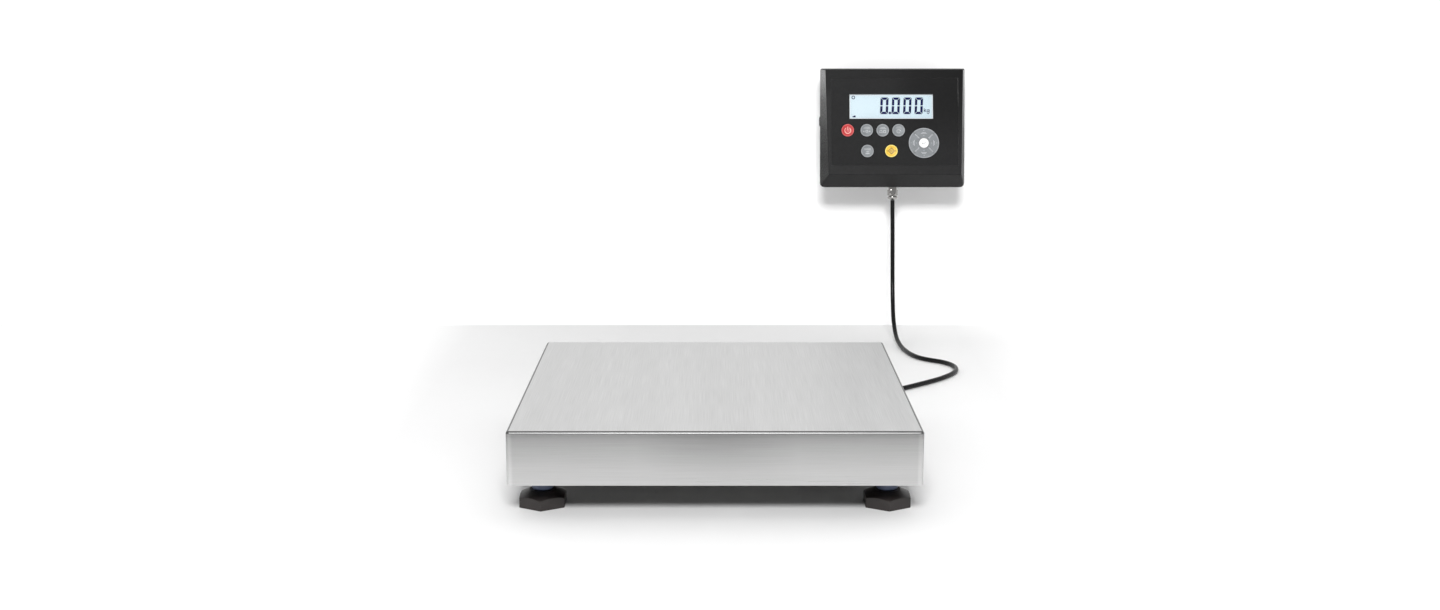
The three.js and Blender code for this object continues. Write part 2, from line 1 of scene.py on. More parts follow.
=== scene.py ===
# Looks for the bench scale: a stainless platter on screw feet, and its keypad indicator on a wall bracket.
# Pieces are drawn in millimetres in the platform's own layout, x = 0 at the platter's middle, y = 0 at its
# front face and z = 0 on the bench, and are then moved to the frame and scaled to metres.
import math

import bmesh
import bpy
from mathutils import Matrix, Vector


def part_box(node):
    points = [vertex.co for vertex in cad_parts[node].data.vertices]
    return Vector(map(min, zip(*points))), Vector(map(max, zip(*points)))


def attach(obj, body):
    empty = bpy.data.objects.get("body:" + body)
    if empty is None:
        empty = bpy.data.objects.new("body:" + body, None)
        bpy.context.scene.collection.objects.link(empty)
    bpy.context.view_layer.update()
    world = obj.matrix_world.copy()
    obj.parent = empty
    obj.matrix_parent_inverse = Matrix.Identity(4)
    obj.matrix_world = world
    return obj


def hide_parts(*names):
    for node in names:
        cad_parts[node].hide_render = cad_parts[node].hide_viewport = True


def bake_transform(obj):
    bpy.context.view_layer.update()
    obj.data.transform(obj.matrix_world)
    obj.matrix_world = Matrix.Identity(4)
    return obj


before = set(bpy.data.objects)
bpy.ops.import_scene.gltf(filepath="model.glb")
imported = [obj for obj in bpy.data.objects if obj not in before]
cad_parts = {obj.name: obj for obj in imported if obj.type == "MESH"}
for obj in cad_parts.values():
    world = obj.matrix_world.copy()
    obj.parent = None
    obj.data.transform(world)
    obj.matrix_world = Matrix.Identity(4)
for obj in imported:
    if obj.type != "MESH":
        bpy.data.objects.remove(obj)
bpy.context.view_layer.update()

# ---- driving dimensions, in millimetres and degrees ----
MM = 0.001
PLATTER_SIDE = 400
PLATTER_TOP = 86
APRON_BOTTOM = 32.5
SHEET = 1.5
MIDDLE_Y = PLATTER_SIDE / 2
WALL_Y = 912
RIM_MIDDLE = (254.75, 855, 301)
REST_TILT = 9
FACE_TOP = (80.5, 24)  # height up the rim and depth in front of it
FACE_BOTTOM = (-69, 40)
FACE_HALF_TOP = 97.75  # half the face's width at its top and at its bottom
FACE_HALF_BOTTOM = 93.75
REAR_HALF_HEIGHT = 78
REAR_DEPTH = 26
PIVOT = (10.3, 14)  # height up the rim and depth behind it
BRACKET_HALF_WIDTH = 98
KNOB_REACH = 104.05
KEY_RADIUS = 8.8
KEY_PROUD = 0.5
KEY_THICK = 2.5
NAV_SPOT, NAV_RADIUS, HUB_RADIUS = (41.15, -23.9), 21.4, 6.9  # the four-way key and its centre key
LCD = {"u": -4.65, "v": 28.5, "width": 118, "height": 35}
CABLE_RADIUS = 3
CABLE_HOLE = CABLE_RADIUS + 0.1
GLAND = (2.25, 14)  # offset to the right and behind the rim
CORNERS = ((-1, -1), (1, -1), (1, 1), (-1, 1))
FOOT_X, FOOT_INSET = 170, 45

platter_low, platter_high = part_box("platter")
ORIGIN = Vector(((platter_low.x + platter_high.x) / 2, platter_low.y, 0))
BENCH = Matrix.Translation(ORIGIN) @ Matrix.Scale(MM, 4)
WEDGE = math.degrees(math.atan2(FACE_BOTTOM[1] - FACE_TOP[1], FACE_TOP[0] - FACE_BOTTOM[0]))
FACE_DEPTH = FACE_TOP[1] + FACE_TOP[0] * math.tan(math.radians(WEDGE))
IDENTITY = Matrix.Identity(4)


def turn(degrees, axis):
    return Matrix.Rotation(math.radians(degrees), 4, axis)


def move(x, y, z=0.0):
    return Matrix.Translation((x, y, z))


def at(x, y, z=0.0):
    return BENCH @ move(x, y, z)


def near_corner(index, x, inset, z=0.0):
    """A place by one of the platform's corners, that far from its middle and in from its front or rear."""
    side, end = CORNERS[index]
    return at(side * x, MIDDLE_Y + end * (MIDDLE_Y - inset), z)


# The indicator's frame: X right, Y back, Z up the rim. On its face: X right, Y up and Z out of it.
HEAD = BENCH @ Matrix.Translation(RIM_MIDDLE) @ turn(-REST_TILT, "X")
FACE = HEAD @ move(0, -FACE_DEPTH) @ turn(-WEDGE, "X") @ turn(90, "X")


def on_face(u, v):
    return FACE @ move(u, v)


# ---- materials ----
finish = {}


def nodes_of(name):
    """A new material, its node tree and its shader."""
    material = finish[name] = bpy.data.materials.new(name)
    material.use_nodes = True
    tree = material.node_tree
    return material, tree, tree.nodes["Principled BSDF"]


def feed(node, **inputs):
    """Links a node's inputs to sockets or sets their values; an underscore in a name stands for a space."""
    for name, value in inputs.items():
        socket = node.inputs[name.replace("_", " ")]
        if isinstance(value, bpy.types.NodeSocket):
            node.id_data.links.new(value, socket)
        else:
            socket.default_value = value


def add_node(tree, kind, **inputs):
    node = tree.nodes.new("ShaderNode" + kind)
    feed(node, **inputs)
    return node


def noise(tree, scale, detail=3.0):
    """A noise in object coordinates, of that many cycles a metre along X, Y and Z."""
    where = add_node(tree, "TexCoord").outputs["Object"]
    stretched = add_node(tree, "Mapping", Vector=where, Scale=scale).outputs["Vector"]
    node = add_node(tree, "TexNoise", Vector=stretched, Scale=1.0, Detail=detail, Roughness=0.55)
    return node.outputs["Fac"]


def ramp(tree, value, stops):
    """A colour ramp from (position, colour) stops."""
    node = add_node(tree, "ValToRGB", Fac=value)
    elements = node.color_ramp.elements
    while len(elements) < len(stops):
        elements.new(0.5)
    for element, (position, colour) in zip(elements, stops):
        element.position = position
        element.color = (*colour, 1.0)
    return node.outputs["Color"]


def spread(tree, value, low, high):
    """The middle of a noise stretched to run from low to high."""
    node = add_node(tree, "MapRange", Value=value, From_Min=0.3, From_Max=0.7, To_Min=low, To_Max=high)
    return node.outputs["Result"]


def add_bump(tree, shader, height, strength, distance):
    node = add_node(tree, "Bump", Height=height, Strength=strength, Distance=distance)
    feed(shader, Normal=node.outputs["Normal"])


def tinted(colour, factor):
    return tuple(min(1.0, channel * factor) for channel in colour)


def textured(name, colour, roughness, grain, variation=0.12, bump=0.15, distance=2e-5, swing=0.08, **inputs):
    """A material whose colour, roughness and surface follow one noise of that grain, in cycles a metre."""
    material, tree, shader = nodes_of(name)
    scale = grain if isinstance(grain, tuple) else (grain,) * 3
    fine = noise(tree, scale)
    broad = noise(tree, tuple(s / 12 for s in scale), detail=2.0)
    stops = ((0.25, tinted(colour, 1 - variation)), (0.75, tinted(colour, 1 + variation)))
    feed(shader, Base_Color=ramp(tree, broad, stops), **inputs)
    feed(shader, Roughness=spread(tree, fine, roughness - swing, roughness + swing))
    add_bump(tree, shader, fine, bump, distance)
    return material


def grey_along(tree, axis, stops):
    """A grey that follows X, Y or Z in the frame, from (metres, grey) stops."""
    where = add_node(tree, "TexCoord").outputs["Object"]
    reach = add_node(tree, "SeparateXYZ", Vector=where).outputs[axis]
    start, end = stops[0][0], stops[-1][0]
    share = add_node(tree, "MapRange", Value=reach, From_Min=start, From_Max=end).outputs["Result"]
    return ramp(tree, share, [((place - start) / (end - start), (grey,) * 3) for place, grey in stops])


def shaded(material, *shades):
    """Paints light and shade into a colour: multiplies it by (axis, stops) greys; a second axis and stops say
    how much of a grey shows.
    """
    tree = material.node_tree
    base = tree.nodes["Principled BSDF"].inputs["Base Color"]
    for axis, stops, *strength in shades:
        product = add_node(tree, "Mix")
        product.data_type = "RGBA"
        product.blend_type = "MULTIPLY"
        factor = grey_along(tree, *strength) if strength else 1.0
        feed(product, Factor=factor, A=base.links[0].from_socket, B=grey_along(tree, axis, stops))
        tree.links.new(product.outputs["Result"], base)
    return material


def brushed(name, colour, roughness, along, anisotropic=0.55, breadth=0.45):
    """Steel brushed along X or Y (0 or 1), with breadth as the share of its broad streaks."""
    material, tree, shader = nodes_of(name)
    fine_scale = [1500] * 3
    broad_scale = [60] * 3
    fine_scale[along] = 14
    broad_scale[along] = 1.2
    fine = noise(tree, fine_scale, detail=4.0)
    broad = noise(tree, broad_scale)
    streak = add_node(tree, "Mix", Factor=breadth, A=fine, B=broad).outputs["Result"]
    stops = ((0.3, tinted(colour, 0.9)), (0.7, tinted(colour, 1.08)))
    direction = add_node(tree, "CombineXYZ")
    direction.inputs[along].default_value = 1.0
    feed(shader, Metallic=1.0, Anisotropic=anisotropic, Tangent=direction.outputs["Vector"])
    feed(shader, Base_Color=ramp(tree, streak, stops))
    feed(shader, Roughness=spread(tree, streak, roughness - 0.05, roughness + 0.07))
    add_bump(tree, shader, fine, 0.12, 1e-5)
    return material


def glowing(name, colour, strength):
    tree, shader = nodes_of(name)[1:]
    stops = ((0.3, tinted(colour, 0.97)), (0.7, colour))
    tint = ramp(tree, noise(tree, (35, 35, 35), detail=1.0), stops)
    feed(shader, Roughness=0.35, Base_Color=tint)
    feed(shader, Emission_Color=(*colour, 1.0), Emission_Strength=strength)


def clear_plastic(name):
    tree, shader = nodes_of(name)[1:]
    feed(shader, Alpha=0.06, Specular_IOR_Level=0.1, Base_Color=(0.10, 0.11, 0.12, 1.0))
    feed(shader, Roughness=spread(tree, noise(tree, (120, 120, 120), detail=2.0), 0.05, 0.08))


def side_plastic_painted_reflection(name, colour, roughness, reflection_tone, sheen):
    """The case's plastic on its side walls, with a painted reflection whose colour and sheen follow the
    height.
    """
    material = shaded(textured(name, colour, roughness, 2600, bump=0.1), ("Z", reflection_tone))
    tree = material.node_tree
    feed(tree.nodes["Principled BSDF"], Specular_IOR_Level=grey_along(tree, "Z", sheen))


# Painted shades, shadows and highlights are (metres, share of the colour) and their strengths (metres, how
# much of the shade shows).
# The side walls get a painted reflection of the backdrop, which is brighter beside the top of the case.
SIDE_PAINTED_SHEEN = ((0.225, 0.04), (0.26, 0.02), (0.30, 0.05), (0.341, 0.28), (0.375, 1.0))
SIDE_PAINTED_REFLECTION = ((0.225, 0.25), (0.26, 0.25), (0.30, 0.27), (0.341, 0.3), (0.375, 1.5))
# Painted shade: the aprons are darker towards the fold, and the front one in its middle; painted highlights
# make lighter strips near its ends.
FOLD_PAINTED_SHADE = ((0.032, 0.96), (0.045, 0.89), (0.065, 0.73), (0.078, 0.57), (0.082, 0.45), (0.086, 0.6))
MIDDLE_PAINTED_SHADE = ((-0.155, 1.0), (-0.115, 0.89), (-0.085, 0.85), (-0.065, 0.85), (-0.035, 0.9), (0.0, 1.0))
MIDDLE_STRENGTH = ((0.036, 0.1), (0.042, 0.3), (0.062, 0.8), (0.076, 1.0))
END_PAINTED_HIGHLIGHT = (
    (-0.2794, 1.0), (-0.2785, 1.0), (-0.2775, 1.2), (-0.2755, 1.2), (-0.273, 1.0),
    (0.1145, 1.0), (0.1165, 1.18), (0.119, 1.18), (0.1197, 1.0), (0.1206, 1.0),
)
# Painted shade: the top and the upper right of the indicator's face are darker.
BROW_PAINTED_SHADE = ((0.225, 1.0), (0.345, 0.92), (0.36, 0.55), (0.375, 0.5))
CORNER_PAINTED_SHADE = ((0.0716, 1.0), (0.165, 1.0), (0.205, 0.6), (0.279, 0.52))
CORNER_STRENGTH = ((0.27, 0.0), (0.325, 0.9), (0.34, 1.0))
UPPER_RIGHT_PAINTED_SHADE = ("X", CORNER_PAINTED_SHADE, "Z", CORNER_STRENGTH)
# Painted shade and shadow: the floor is a little darker round the platform, behind it and under it.
FLOOR_PAINTED_SHADE = ((-0.53, 1.0), (-0.44, 0.89), (0.28, 0.89), (0.37, 1.0))
BACK_PAINTED_SHADOW = (
    (-0.55, 1.0), (-0.43, 0.9), (-0.33, 0.85), (-0.19, 0.81),
    (-0.1, 0.81), (0.06, 0.86), (0.15, 0.92), (0.24, 1.0),
)
BACK_STRENGTH = ((-0.35, 0.0), (-0.1, 0.5), (0.2, 1.0))
UNDER_PAINTED_SHADOW = ((-0.27, 1.0), (-0.24, 0.63), (0.08, 0.63), (0.11, 1.0))
UNDER_STRENGTH = ((-0.42, 0.0), (-0.405, 1.0), (-0.14, 1.0), (-0.1, 0.0))

STEEL = (0.57, 0.57, 0.568)
# The top's steel is a lighter copy of the aprons' steel: painted light.
brushed("steel_top_painted_light", (0.735, 0.735, 0.733), 0.46, 1, anisotropic=0.4, breadth=0.2)
# The aprons' steel carries the painted shade, and the front one the painted highlights near its ends.
shaded(brushed("steel_front", STEEL, 0.30, 0), ("Z", FOLD_PAINTED_SHADE), ("X", MIDDLE_PAINTED_SHADE, "Z", MIDDLE_STRENGTH),
       ("X", END_PAINTED_HIGHLIGHT))
shaded(brushed("steel_side", STEEL, 0.30, 1), ("Z", FOLD_PAINTED_SHADE))
# The folded edge is a dark copy of the steel: painted shade.
textured("steel_fold_painted_shade", (0.17, 0.17, 0.17), 0.36, 9, variation=0.02, bump=0.0, swing=0.005, Metallic=1.0)
textured("zinc", (0.55, 0.56, 0.57), 0.38, 300, Metallic=1.0)
textured("nickel", (0.42, 0.41, 0.40), 0.12, 400, bump=0.05, swing=0.04, Metallic=1.0)
textured("aluminium", (0.70, 0.71, 0.72), 0.36, (60, 1800, 1800), Metallic=1.0)
textured("powder_coat", (0.030, 0.031, 0.033), 0.52, 900, bump=0.35, distance=6e-5)
textured("rubber", (0.018, 0.018, 0.018), 0.72, 500)
textured("foot_nylon", (0.022, 0.018, 0.017), 0.42, 1200, bump=0.2, distance=3e-5)
textured("collar_plastic", (0.076, 0.098, 0.165), 0.38, 900, bump=0.1)
ABS = {"grain": 2600, "bump": 0.3, "distance": 5e-5}
# The case's plastic and the film carry painted shade at the face's top and upper right.
shaded(textured("housing_abs", (0.019, 0.019, 0.0195), 0.42, **ABS, Specular_IOR_Level=0.06),
       ("Z", BROW_PAINTED_SHADE), UPPER_RIGHT_PAINTED_SHADE)
# Above the face the plastic is a darker copy: painted shade.
textured("housing_top_painted_shade", (0.009, 0.009, 0.0093), 0.45, **ABS, Specular_IOR_Level=0.03)
# The side walls' colour and sheen carry a painted reflection.
side_plastic_painted_reflection("housing_side_painted_reflection", (0.115, 0.115, 0.116), 0.28, SIDE_PAINTED_REFLECTION, SIDE_PAINTED_SHEEN)
shaded(textured("overlay_film", (0.0165, 0.0165, 0.017), 0.5, 3500, bump=0.12, Specular_IOR_Level=0.06),
       UPPER_RIGHT_PAINTED_SHADE)
glowing("lcd_backlight", (0.52, 0.66, 0.73), 0.18)
glowing("lcd_edge", (0.68, 0.74, 0.78), 0.22)
textured("lcd_segment", (0.004, 0.006, 0.07), 0.4, 600, bump=0.0, Specular_IOR_Level=0.02)
clear_plastic("clear_window")
textured("circuit_board", (0.012, 0.10, 0.04), 0.4, 300, variation=0.3)
textured("battery_wrap", (0.02, 0.05, 0.20), 0.35, 200)
textured("cable_pvc", (0.005, 0.005, 0.0055), 0.30, 700, bump=0.1, Specular_IOR_Level=0.2)
textured("level_fluid", (0.45, 0.75, 0.06), 0.1, 80, Transmission_Weight=0.6)
textured("key_white", (0.90, 0.90, 0.90), 0.4, 2500, variation=0.03)
# The rim colours are lighter copies of the key paints: a painted highlight on the caps' lips.
for name, colour, roughness in (
    ("key_grey", (0.205, 0.22, 0.232), 0.45),
    ("key_grey_rim", (0.33, 0.345, 0.36), 0.4),
    ("nav_grey", (0.175, 0.188, 0.20), 0.5),
    ("nav_rim", (0.30, 0.315, 0.33), 0.45),
    ("key_red", (0.50, 0.028, 0.032), 0.42),
    ("key_red_rim", (0.62, 0.09, 0.085), 0.38),
    ("key_yellow", (0.78, 0.50, 0.05), 0.42),
    ("key_yellow_rim", (0.95, 0.76, 0.20), 0.38),
):
    textured(name, colour, roughness, 2500)
# The black is print on the film and painted shade in the screws' cross slots.
for name, colour in (
    ("black_print_and_painted_shade", (0.008, 0.008, 0.009)),
    ("ink_light", (0.50, 0.52, 0.54)),
    ("ink_pale", (0.85, 0.45, 0.38)),
    ("ink_dark", (0.10, 0.11, 0.12)),
    ("ink_brown", (0.14, 0.075, 0.015)),
):
    textured(name, colour, 0.5, 900)


# ---- mesh building ----
def add_object(name, data):
    obj = bpy.data.objects.new(name, data)
    bpy.context.scene.collection.objects.link(obj)
    return obj


def make_object(name, bm, matrix, materials):
    """A new object from a bmesh in local millimetres, moved by matrix into the row frame in metres."""
    bmesh.ops.remove_doubles(bm, verts=bm.verts, dist=1e-5)
    bmesh.ops.recalc_face_normals(bm, faces=bm.faces)
    mesh = bpy.data.meshes.new(name)
    bm.to_mesh(mesh)
    bm.free()
    mesh.transform(matrix)
    obj = add_object(name, mesh)
    for key in materials:
        mesh.materials.append(finish[key])
    return obj


def smooth(obj, degrees):
    """Smooth shading with edges sharper than that left hard."""
    mesh = obj.data
    mesh.polygons.foreach_set("use_smooth", [True] * len(mesh.polygons))
    mesh.set_sharp_from_angle(angle=math.radians(degrees))


def weigh_normals(obj):
    """Lets the flat faces set the shading, so that only the rounded edges between them turn the light."""
    modifier = obj.modifiers.new("weighted_normals", "WEIGHTED_NORMAL")
    modifier.keep_sharp = True
    graph = bpy.context.evaluated_depsgraph_get()
    mesh = bpy.data.meshes.new_from_object(obj.evaluated_get(graph))
    obj.modifiers.clear()
    obj.data = mesh


def settle(obj, body, slot, *nodes):
    """The piece rides on the body and stands for those CAD nodes, which are hidden. The slot is not used."""
    if body:
        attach(obj, body)
    if nodes:
        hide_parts(*nodes)


def add_piece(name, bm, matrix, materials, degrees, body, slot, *nodes):
    """A settled piece from a bmesh, smooth but for edges sharper than those degrees; flat if they are 0."""
    obj = make_object(name, bm, matrix, materials)
    if degrees:
        smooth(obj, degrees)
    settle(obj, body, slot, *nodes)


def copy_node(node):
    """A CAD node's mesh as a bmesh, its flat faces made whole again."""
    bm = bmesh.new()
    bm.from_mesh(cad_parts[node].data)
    bmesh.ops.remove_doubles(bm, verts=bm.verts, dist=2e-6)
    bmesh.ops.dissolve_limit(bm, angle_limit=math.radians(0.6), verts=bm.verts, edges=bm.edges)
    return bm


def round_edges(bm, degrees, width, segments, chosen=None):
    """Rounds the edges sharper than those degrees, or those of them that chosen says."""
    edges = [e for e in bm.edges if len(e.link_faces) == 2 and e.calc_face_angle() > math.radians(degrees)]
    if chosen:
        edges = [e for e in edges if chosen(e)]
    bmesh.ops.bevel(bm, geom=edges, offset=width * MM, segments=segments, profile=0.5, affect="EDGES",
                    clamp_overlap=True)


def rounded_object(name, bm, materials, degrees):
    """An object from a rounded copy of a node, which is in metres already."""
    bmesh.ops.scale(bm, vec=(1 / MM,) * 3, verts=bm.verts)
    obj = make_object(name, bm, Matrix.Scale(MM, 4), materials)
    smooth(obj, degrees)
    weigh_normals(obj)
    return obj


def refined(name, node, body, slot, material, width=0.6, segments=3, angle=28):
    """A finer copy of a CAD node with its edges rounded."""
    bm = copy_node(node)
    round_edges(bm, angle, width, segments)
    for face in bm.faces:
        face.material_index = 0
    obj = rounded_object(name, bm, [material], 32)
    settle(obj, body, slot, node)
    return obj


def ring(bm, reach, height, count, matrix=IDENTITY):
    """Vertices round Z at a height. Their reach is a radius, or a function of the angle."""
    verts = []
    for i in range(count):
        angle = 2 * math.pi * i / count
        radius = reach(angle) if callable(reach) else reach
        spot = Vector((radius * math.cos(angle), radius * math.sin(angle), height))
        verts.append(bm.verts.new(matrix @ spot))
    return verts


def skin(bm, rings, material=0):
    """Faces from each ring of vertices to the next; a ring can be a single vertex."""
    for low, high in zip(rings, rings[1:]):
        count = max(len(low), len(high))
        for i in range(count if count > 1 else 0):
            j = (i + 1) % count
            if len(low) == 1:
                corners = (low[0], high[j], high[i])
            elif len(high) == 1:
                corners = (low[i], low[j], high[0])
            else:
                corners = (low[i], low[j], high[j], high[i])
            bm.faces.new(corners).material_index = material


def lathe(bm, profile, segments=48, material=0, matrix=IDENTITY):
    """Turns (radius, height) points round Z; one that starts and ends on the axis or on itself is closed."""
    skin(bm, [ring(bm, r, z, segments if r > 0 else 1, matrix) for r, z in profile], material)


def polar(radius, degrees, middle=(0, 0)):
    angle = math.radians(degrees)
    return (middle[0] + radius * math.cos(angle), middle[1] + radius * math.sin(angle))


def arc(middle, radius, start, end, steps=5):
    """Points round an arc in the profile plane, from start to end degrees."""
    return [polar(radius, start + (end - start) * i / steps, middle) for i in range(steps + 1)]


def plate(bm, outline, low, high, material=0, matrix=IDENTITY):
    """A thin solid over a closed outline of (x, y) points, from height low to high."""
    bottom, top = ([bm.verts.new(matrix @ Vector((x, y, z))) for x, y in outline] for z in (low, high))
    skin(bm, [bottom, top], material)
    for loop in (top, bottom[::-1]):
        bm.faces.new(loop).material_index = material


def rectangle(x, y, half_width, half_depth):
    return [(x - half_width, y - half_depth), (x + half_width, y - half_depth),
            (x + half_width, y + half_depth), (x - half_width, y + half_depth)]


def band(bm, middle, inner, outer, start, end, low, high, material=0, steps=None):
    """A stretch of flat ring between two radii, from start to end degrees."""
    steps = steps or max(4, int(abs(end - start) / 7.5))
    if abs(end - start) >= 360:
        section = [(inner, low), (outer, low), (outer, high), (inner, high), (inner, low)]
        lathe(bm, section, steps, material, move(*middle))
        return
    outline = arc(middle, outer, start, end, steps) + arc(middle, inner, end, start, steps)
    plate(bm, outline, low, high, material)


def stroke(bm, a, b, width, low, high, material=0):
    """A straight printed line from a to b."""
    a, b = Vector(a), Vector(b)
    side = (b - a).normalized().orthogonal() * width / 2
    plate(bm, [a - side, b - side, b + side, a + side], low, high, material)


def tube(bm, points, radius, sides):
    """A round tube along points, with its section carried along without twist."""
    tangents = []
    for i in range(len(points)):
        before = points[max(i - 1, 0)]
        after = points[min(i + 1, len(points) - 1)]
        tangents.append((after - before).normalized())
    normal = tangents[0].orthogonal().normalized()
    rings = []
    for point, tangent in zip(points, tangents):
        normal = (normal - tangent * normal.dot(tangent)).normalized()
        place = Matrix((normal, tangent.cross(normal), tangent)).transposed().to_4x4()
        place.translation = point
        rings.append(ring(bm, radius, 0, sides, place))
    skin(bm, rings)
    bm.faces.new(rings[0][::-1])
    bm.faces.new(rings[-1])


def curve_through(points, steps=10):
    """A Catmull-Rom curve through the points, with that many steps between each pair."""
    spots = [Vector(p) for p in points]
    ends = [spots[0] * 2 - spots[1]] + spots + [spots[-1] * 2 - spots[-2]]
    curve = []
    for a, b, c, d in zip(ends, ends[1:], ends[2:], ends[3:]):
        for i in range(steps):
            t = i / steps
            square = (2 * a - 5 * b + 4 * c - d) * t**2
            cube = (3 * b - a - 3 * c + d) * t**3
            curve.append(0.5 * (2 * b + (c - a) * t + square + cube))
    curve.append(spots[-1])
    return curve


# ---- camera ----
CAMERA_SPOT = (0, -1518, 506.4)
CAMERA_PITCH = 11.08
FOCAL_LENGTH = 41.2  # on a 36 mm sensor
FRAMING_SHIFT = 0.0035


def make_camera():
    data = bpy.data.cameras.new("camera")
    data.lens = FOCAL_LENGTH
    data.sensor_width = 36
    data.shift_x = FRAMING_SHIFT
    data.clip_end = 50
    camera = add_object("camera", data)
    camera.location = BENCH @ Vector(CAMERA_SPOT)
    camera.rotation_euler = (math.radians(90 - CAMERA_PITCH), 0, 0)
    bpy.context.scene.camera = camera


# ---- cord: the cable from the indicator's gland to the platform's gland ----
CABLE_ROUTE = [
    (257, 852.7, 197), (257.1, 849.6, 177.3), (257.4, 846.4, 152), (257.7, 844.5, 126),
    (257.9, 841.5, 100), (257.9, 836, 74), (257.6, 825, 50), (257.2, 806, 28), (258.2, 779, 11.5),
    (261.3, 748, 4.6), (266.6, 714, 3.3), (273, 690, 3.3), (281.4, 674, 3.3), (293.5, 662, 3.3),
    (306, 652, 3.3), (315, 639, 3.3), (319.5, 624, 3.3), (319.5, 608, 3.3), (315, 592, 3.3),
    (305, 574, 3.3), (291, 555.5, 3.3), (275, 539, 3.3), (257, 522, 3.3), (237, 504, 3.3),
    (213, 485.5, 3.3), (188, 467, 3.5), (163, 448.5, 6), (140, 430, 12.4), (124.8, 412.5, 19),
    (119.4, 401.5, 21.5), (118, 391.4, 22),
]


def make_cable():
    line = curve_through(CABLE_ROUTE)
    bm = bmesh.new()
    tube(bm, line, CABLE_RADIUS, 20)
    cable = make_object("cable", bm, BENCH, ["cable_pvc"])
    smooth(cable, 60)
    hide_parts("load_cell_cable")
    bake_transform(cable)


# ---- platter ----
BEND = 2.6  # outer radius of the folded edges
CORNER_RADIUS = 3.4  # of the welded and ground upright corners
NOTCH = 4.5  # radius of the aprons' lower corners
INNER_BEND = 1.1
NEAR_CORNER = (0.4, 0.9, 1.6, 2.4, 3.4, 6.0)  # how far from a corner's end the extra points are


def platter_ring(bm, half, corner, height):
    """A rounded square of vertices; height is a number, or a function of the point."""
    straight = half - corner
    points = [Vector((straight + x, y - straight)) for x, y in arc((0, 0), corner, -90, 0, 6)]
    points += [Vector((half, d - straight)) for d in NEAR_CORNER]
    points += [Vector((half, straight - d)) for d in reversed(NEAR_CORNER)]
    loop = [Matrix.Rotation(math.pi / 2 * quarter, 2) @ p for quarter in range(4) for p in points]
    return [bm.verts.new((p.x, p.y, height(p) if callable(height) else height)) for p in loop]


def apron_height(p):
    """The height of the aprons' lower edge, which curves up near the upright corners."""
    d = PLATTER_SIDE / 2 - min(abs(p.x), abs(p.y))
    if d >= NOTCH:
        return APRON_BOTTOM
    return APRON_BOTTOM + NOTCH - math.sqrt(max(0.0, NOTCH**2 - (NOTCH - d) ** 2))


def platter_material(normal):
    """Which of the top, front, side and fold finishes a face has; the top's has painted light and the fold's
    painted shade.
    """
    if 0.08 < normal.z < 0.995:
        return 3
    if abs(normal.z) > 0.6:
        return 0
    return 1 if abs(normal.y) >= abs(normal.x) else 2


def make_platter():
    half = PLATTER_SIDE / 2
    fold = PLATTER_TOP - BEND
    under = PLATTER_TOP - SHEET
    bm = bmesh.new()
    rings = []
    for reach, height in arc((half - BEND, fold), BEND, 90, 0, 6):
        rings.append(platter_ring(bm, reach, CORNER_RADIUS - (half - reach), height))
    for share in (0.5, 1.0):
        rings.append(platter_ring(bm, half, CORNER_RADIUS, lambda p: fold + share * (apron_height(p) - fold)))
    inner, corner = half - SHEET, CORNER_RADIUS - SHEET
    inside = platter_ring(bm, inner, corner, 0)
    for vert, outer in zip(inside, rings[-1]):
        vert.co.z = outer.co.z
    rings.append(inside)
    rings.append(platter_ring(bm, inner, corner, under - INNER_BEND))
    rings.append(platter_ring(bm, inner - INNER_BEND, corner - INNER_BEND, under))
    skin(bm, rings)
    bm.faces.new(rings[0])
    bm.faces.new(rings[-1][::-1])
    bmesh.ops.recalc_face_normals(bm, faces=bm.faces)
    for face in bm.faces:
        face.material_index = platter_material(face.normal)
    finishes = ["steel_top_painted_light", "steel_front", "steel_side", "steel_fold_painted_shade"]
    platter = make_object("platter_cover", bm, at(0, half), finishes)
    smooth(platter, 35)
    weigh_normals(platter)
    settle(platter, "platter", "stainless", "platter")


# ---- platform: base frame, load cell, load frame ----
CARRIER_X, CARRIER_TOP = 148, 80.2
BUMPER_INSET, STOP_X, STOP_INSET, STOP_SEAT = 62, 156, 84, 52.1
CELL_BOTTOM, CELL_TOP = 49.6, 73.6
BEAM_TOP, CHANNEL_SHEET, FIXED_X = 46, 3, 55
THREAD_PITCH = 1.5
SCREW_HEAD, SCREW_SHANK, SCREW_LENGTH = 5, 3, 15  # two radii and the length under the head
LEVEL_SPOT = (-179, MIDDLE_Y, 52.3)
BASE_GLAND = (118, 373, 22)


def threaded(radius, low, high, pitch, depth):
    """Profile points for a thread between two heights, without the points on the axis."""
    points = []
    turns = max(1, round((high - low) / pitch))
    step = (high - low) / turns
    for i in range(turns):
        z = low + i * step
        points += [(radius - depth, z), (radius, z + step * 0.4), (radius, z + step * 0.6)]
    return points + [(radius - depth, high)]


def hexagon(across):
    """A hexagon's reach at an angle, from its width across the flats."""
    return lambda angle: across / 2 / math.cos(angle % (math.pi / 3) - math.pi / 6)


def hex_socket(bm, radius, across, top, depth):
    """A screw head's top face from that radius inward, with a hexagonal socket sunk in it."""
    side = hexagon(across)
    rings = [ring(bm, reach, z, 48) for reach, z in ((radius, top), (side, top), (side, top - depth))]
    skin(bm, rings)
    bm.faces.new(rings[-1])


def hexed(bm, across, low, high, bore, chamfer=0.5):
    """A hexagonal nut with its corners eased at both ends, bored through."""
    side = hexagon(across)
    corner = across / math.sqrt(3) * 0.985
    rings = []
    for z, ease in ((low, chamfer), (low + chamfer, 0), (high - chamfer, 0), (high, chamfer)):
        rings.append(ring(bm, lambda angle: min(side(angle), corner - ease), z, 48))
    rings += [ring(bm, bore, z, 48) for z in (high, low)]
    skin(bm, rings + rings[:1])


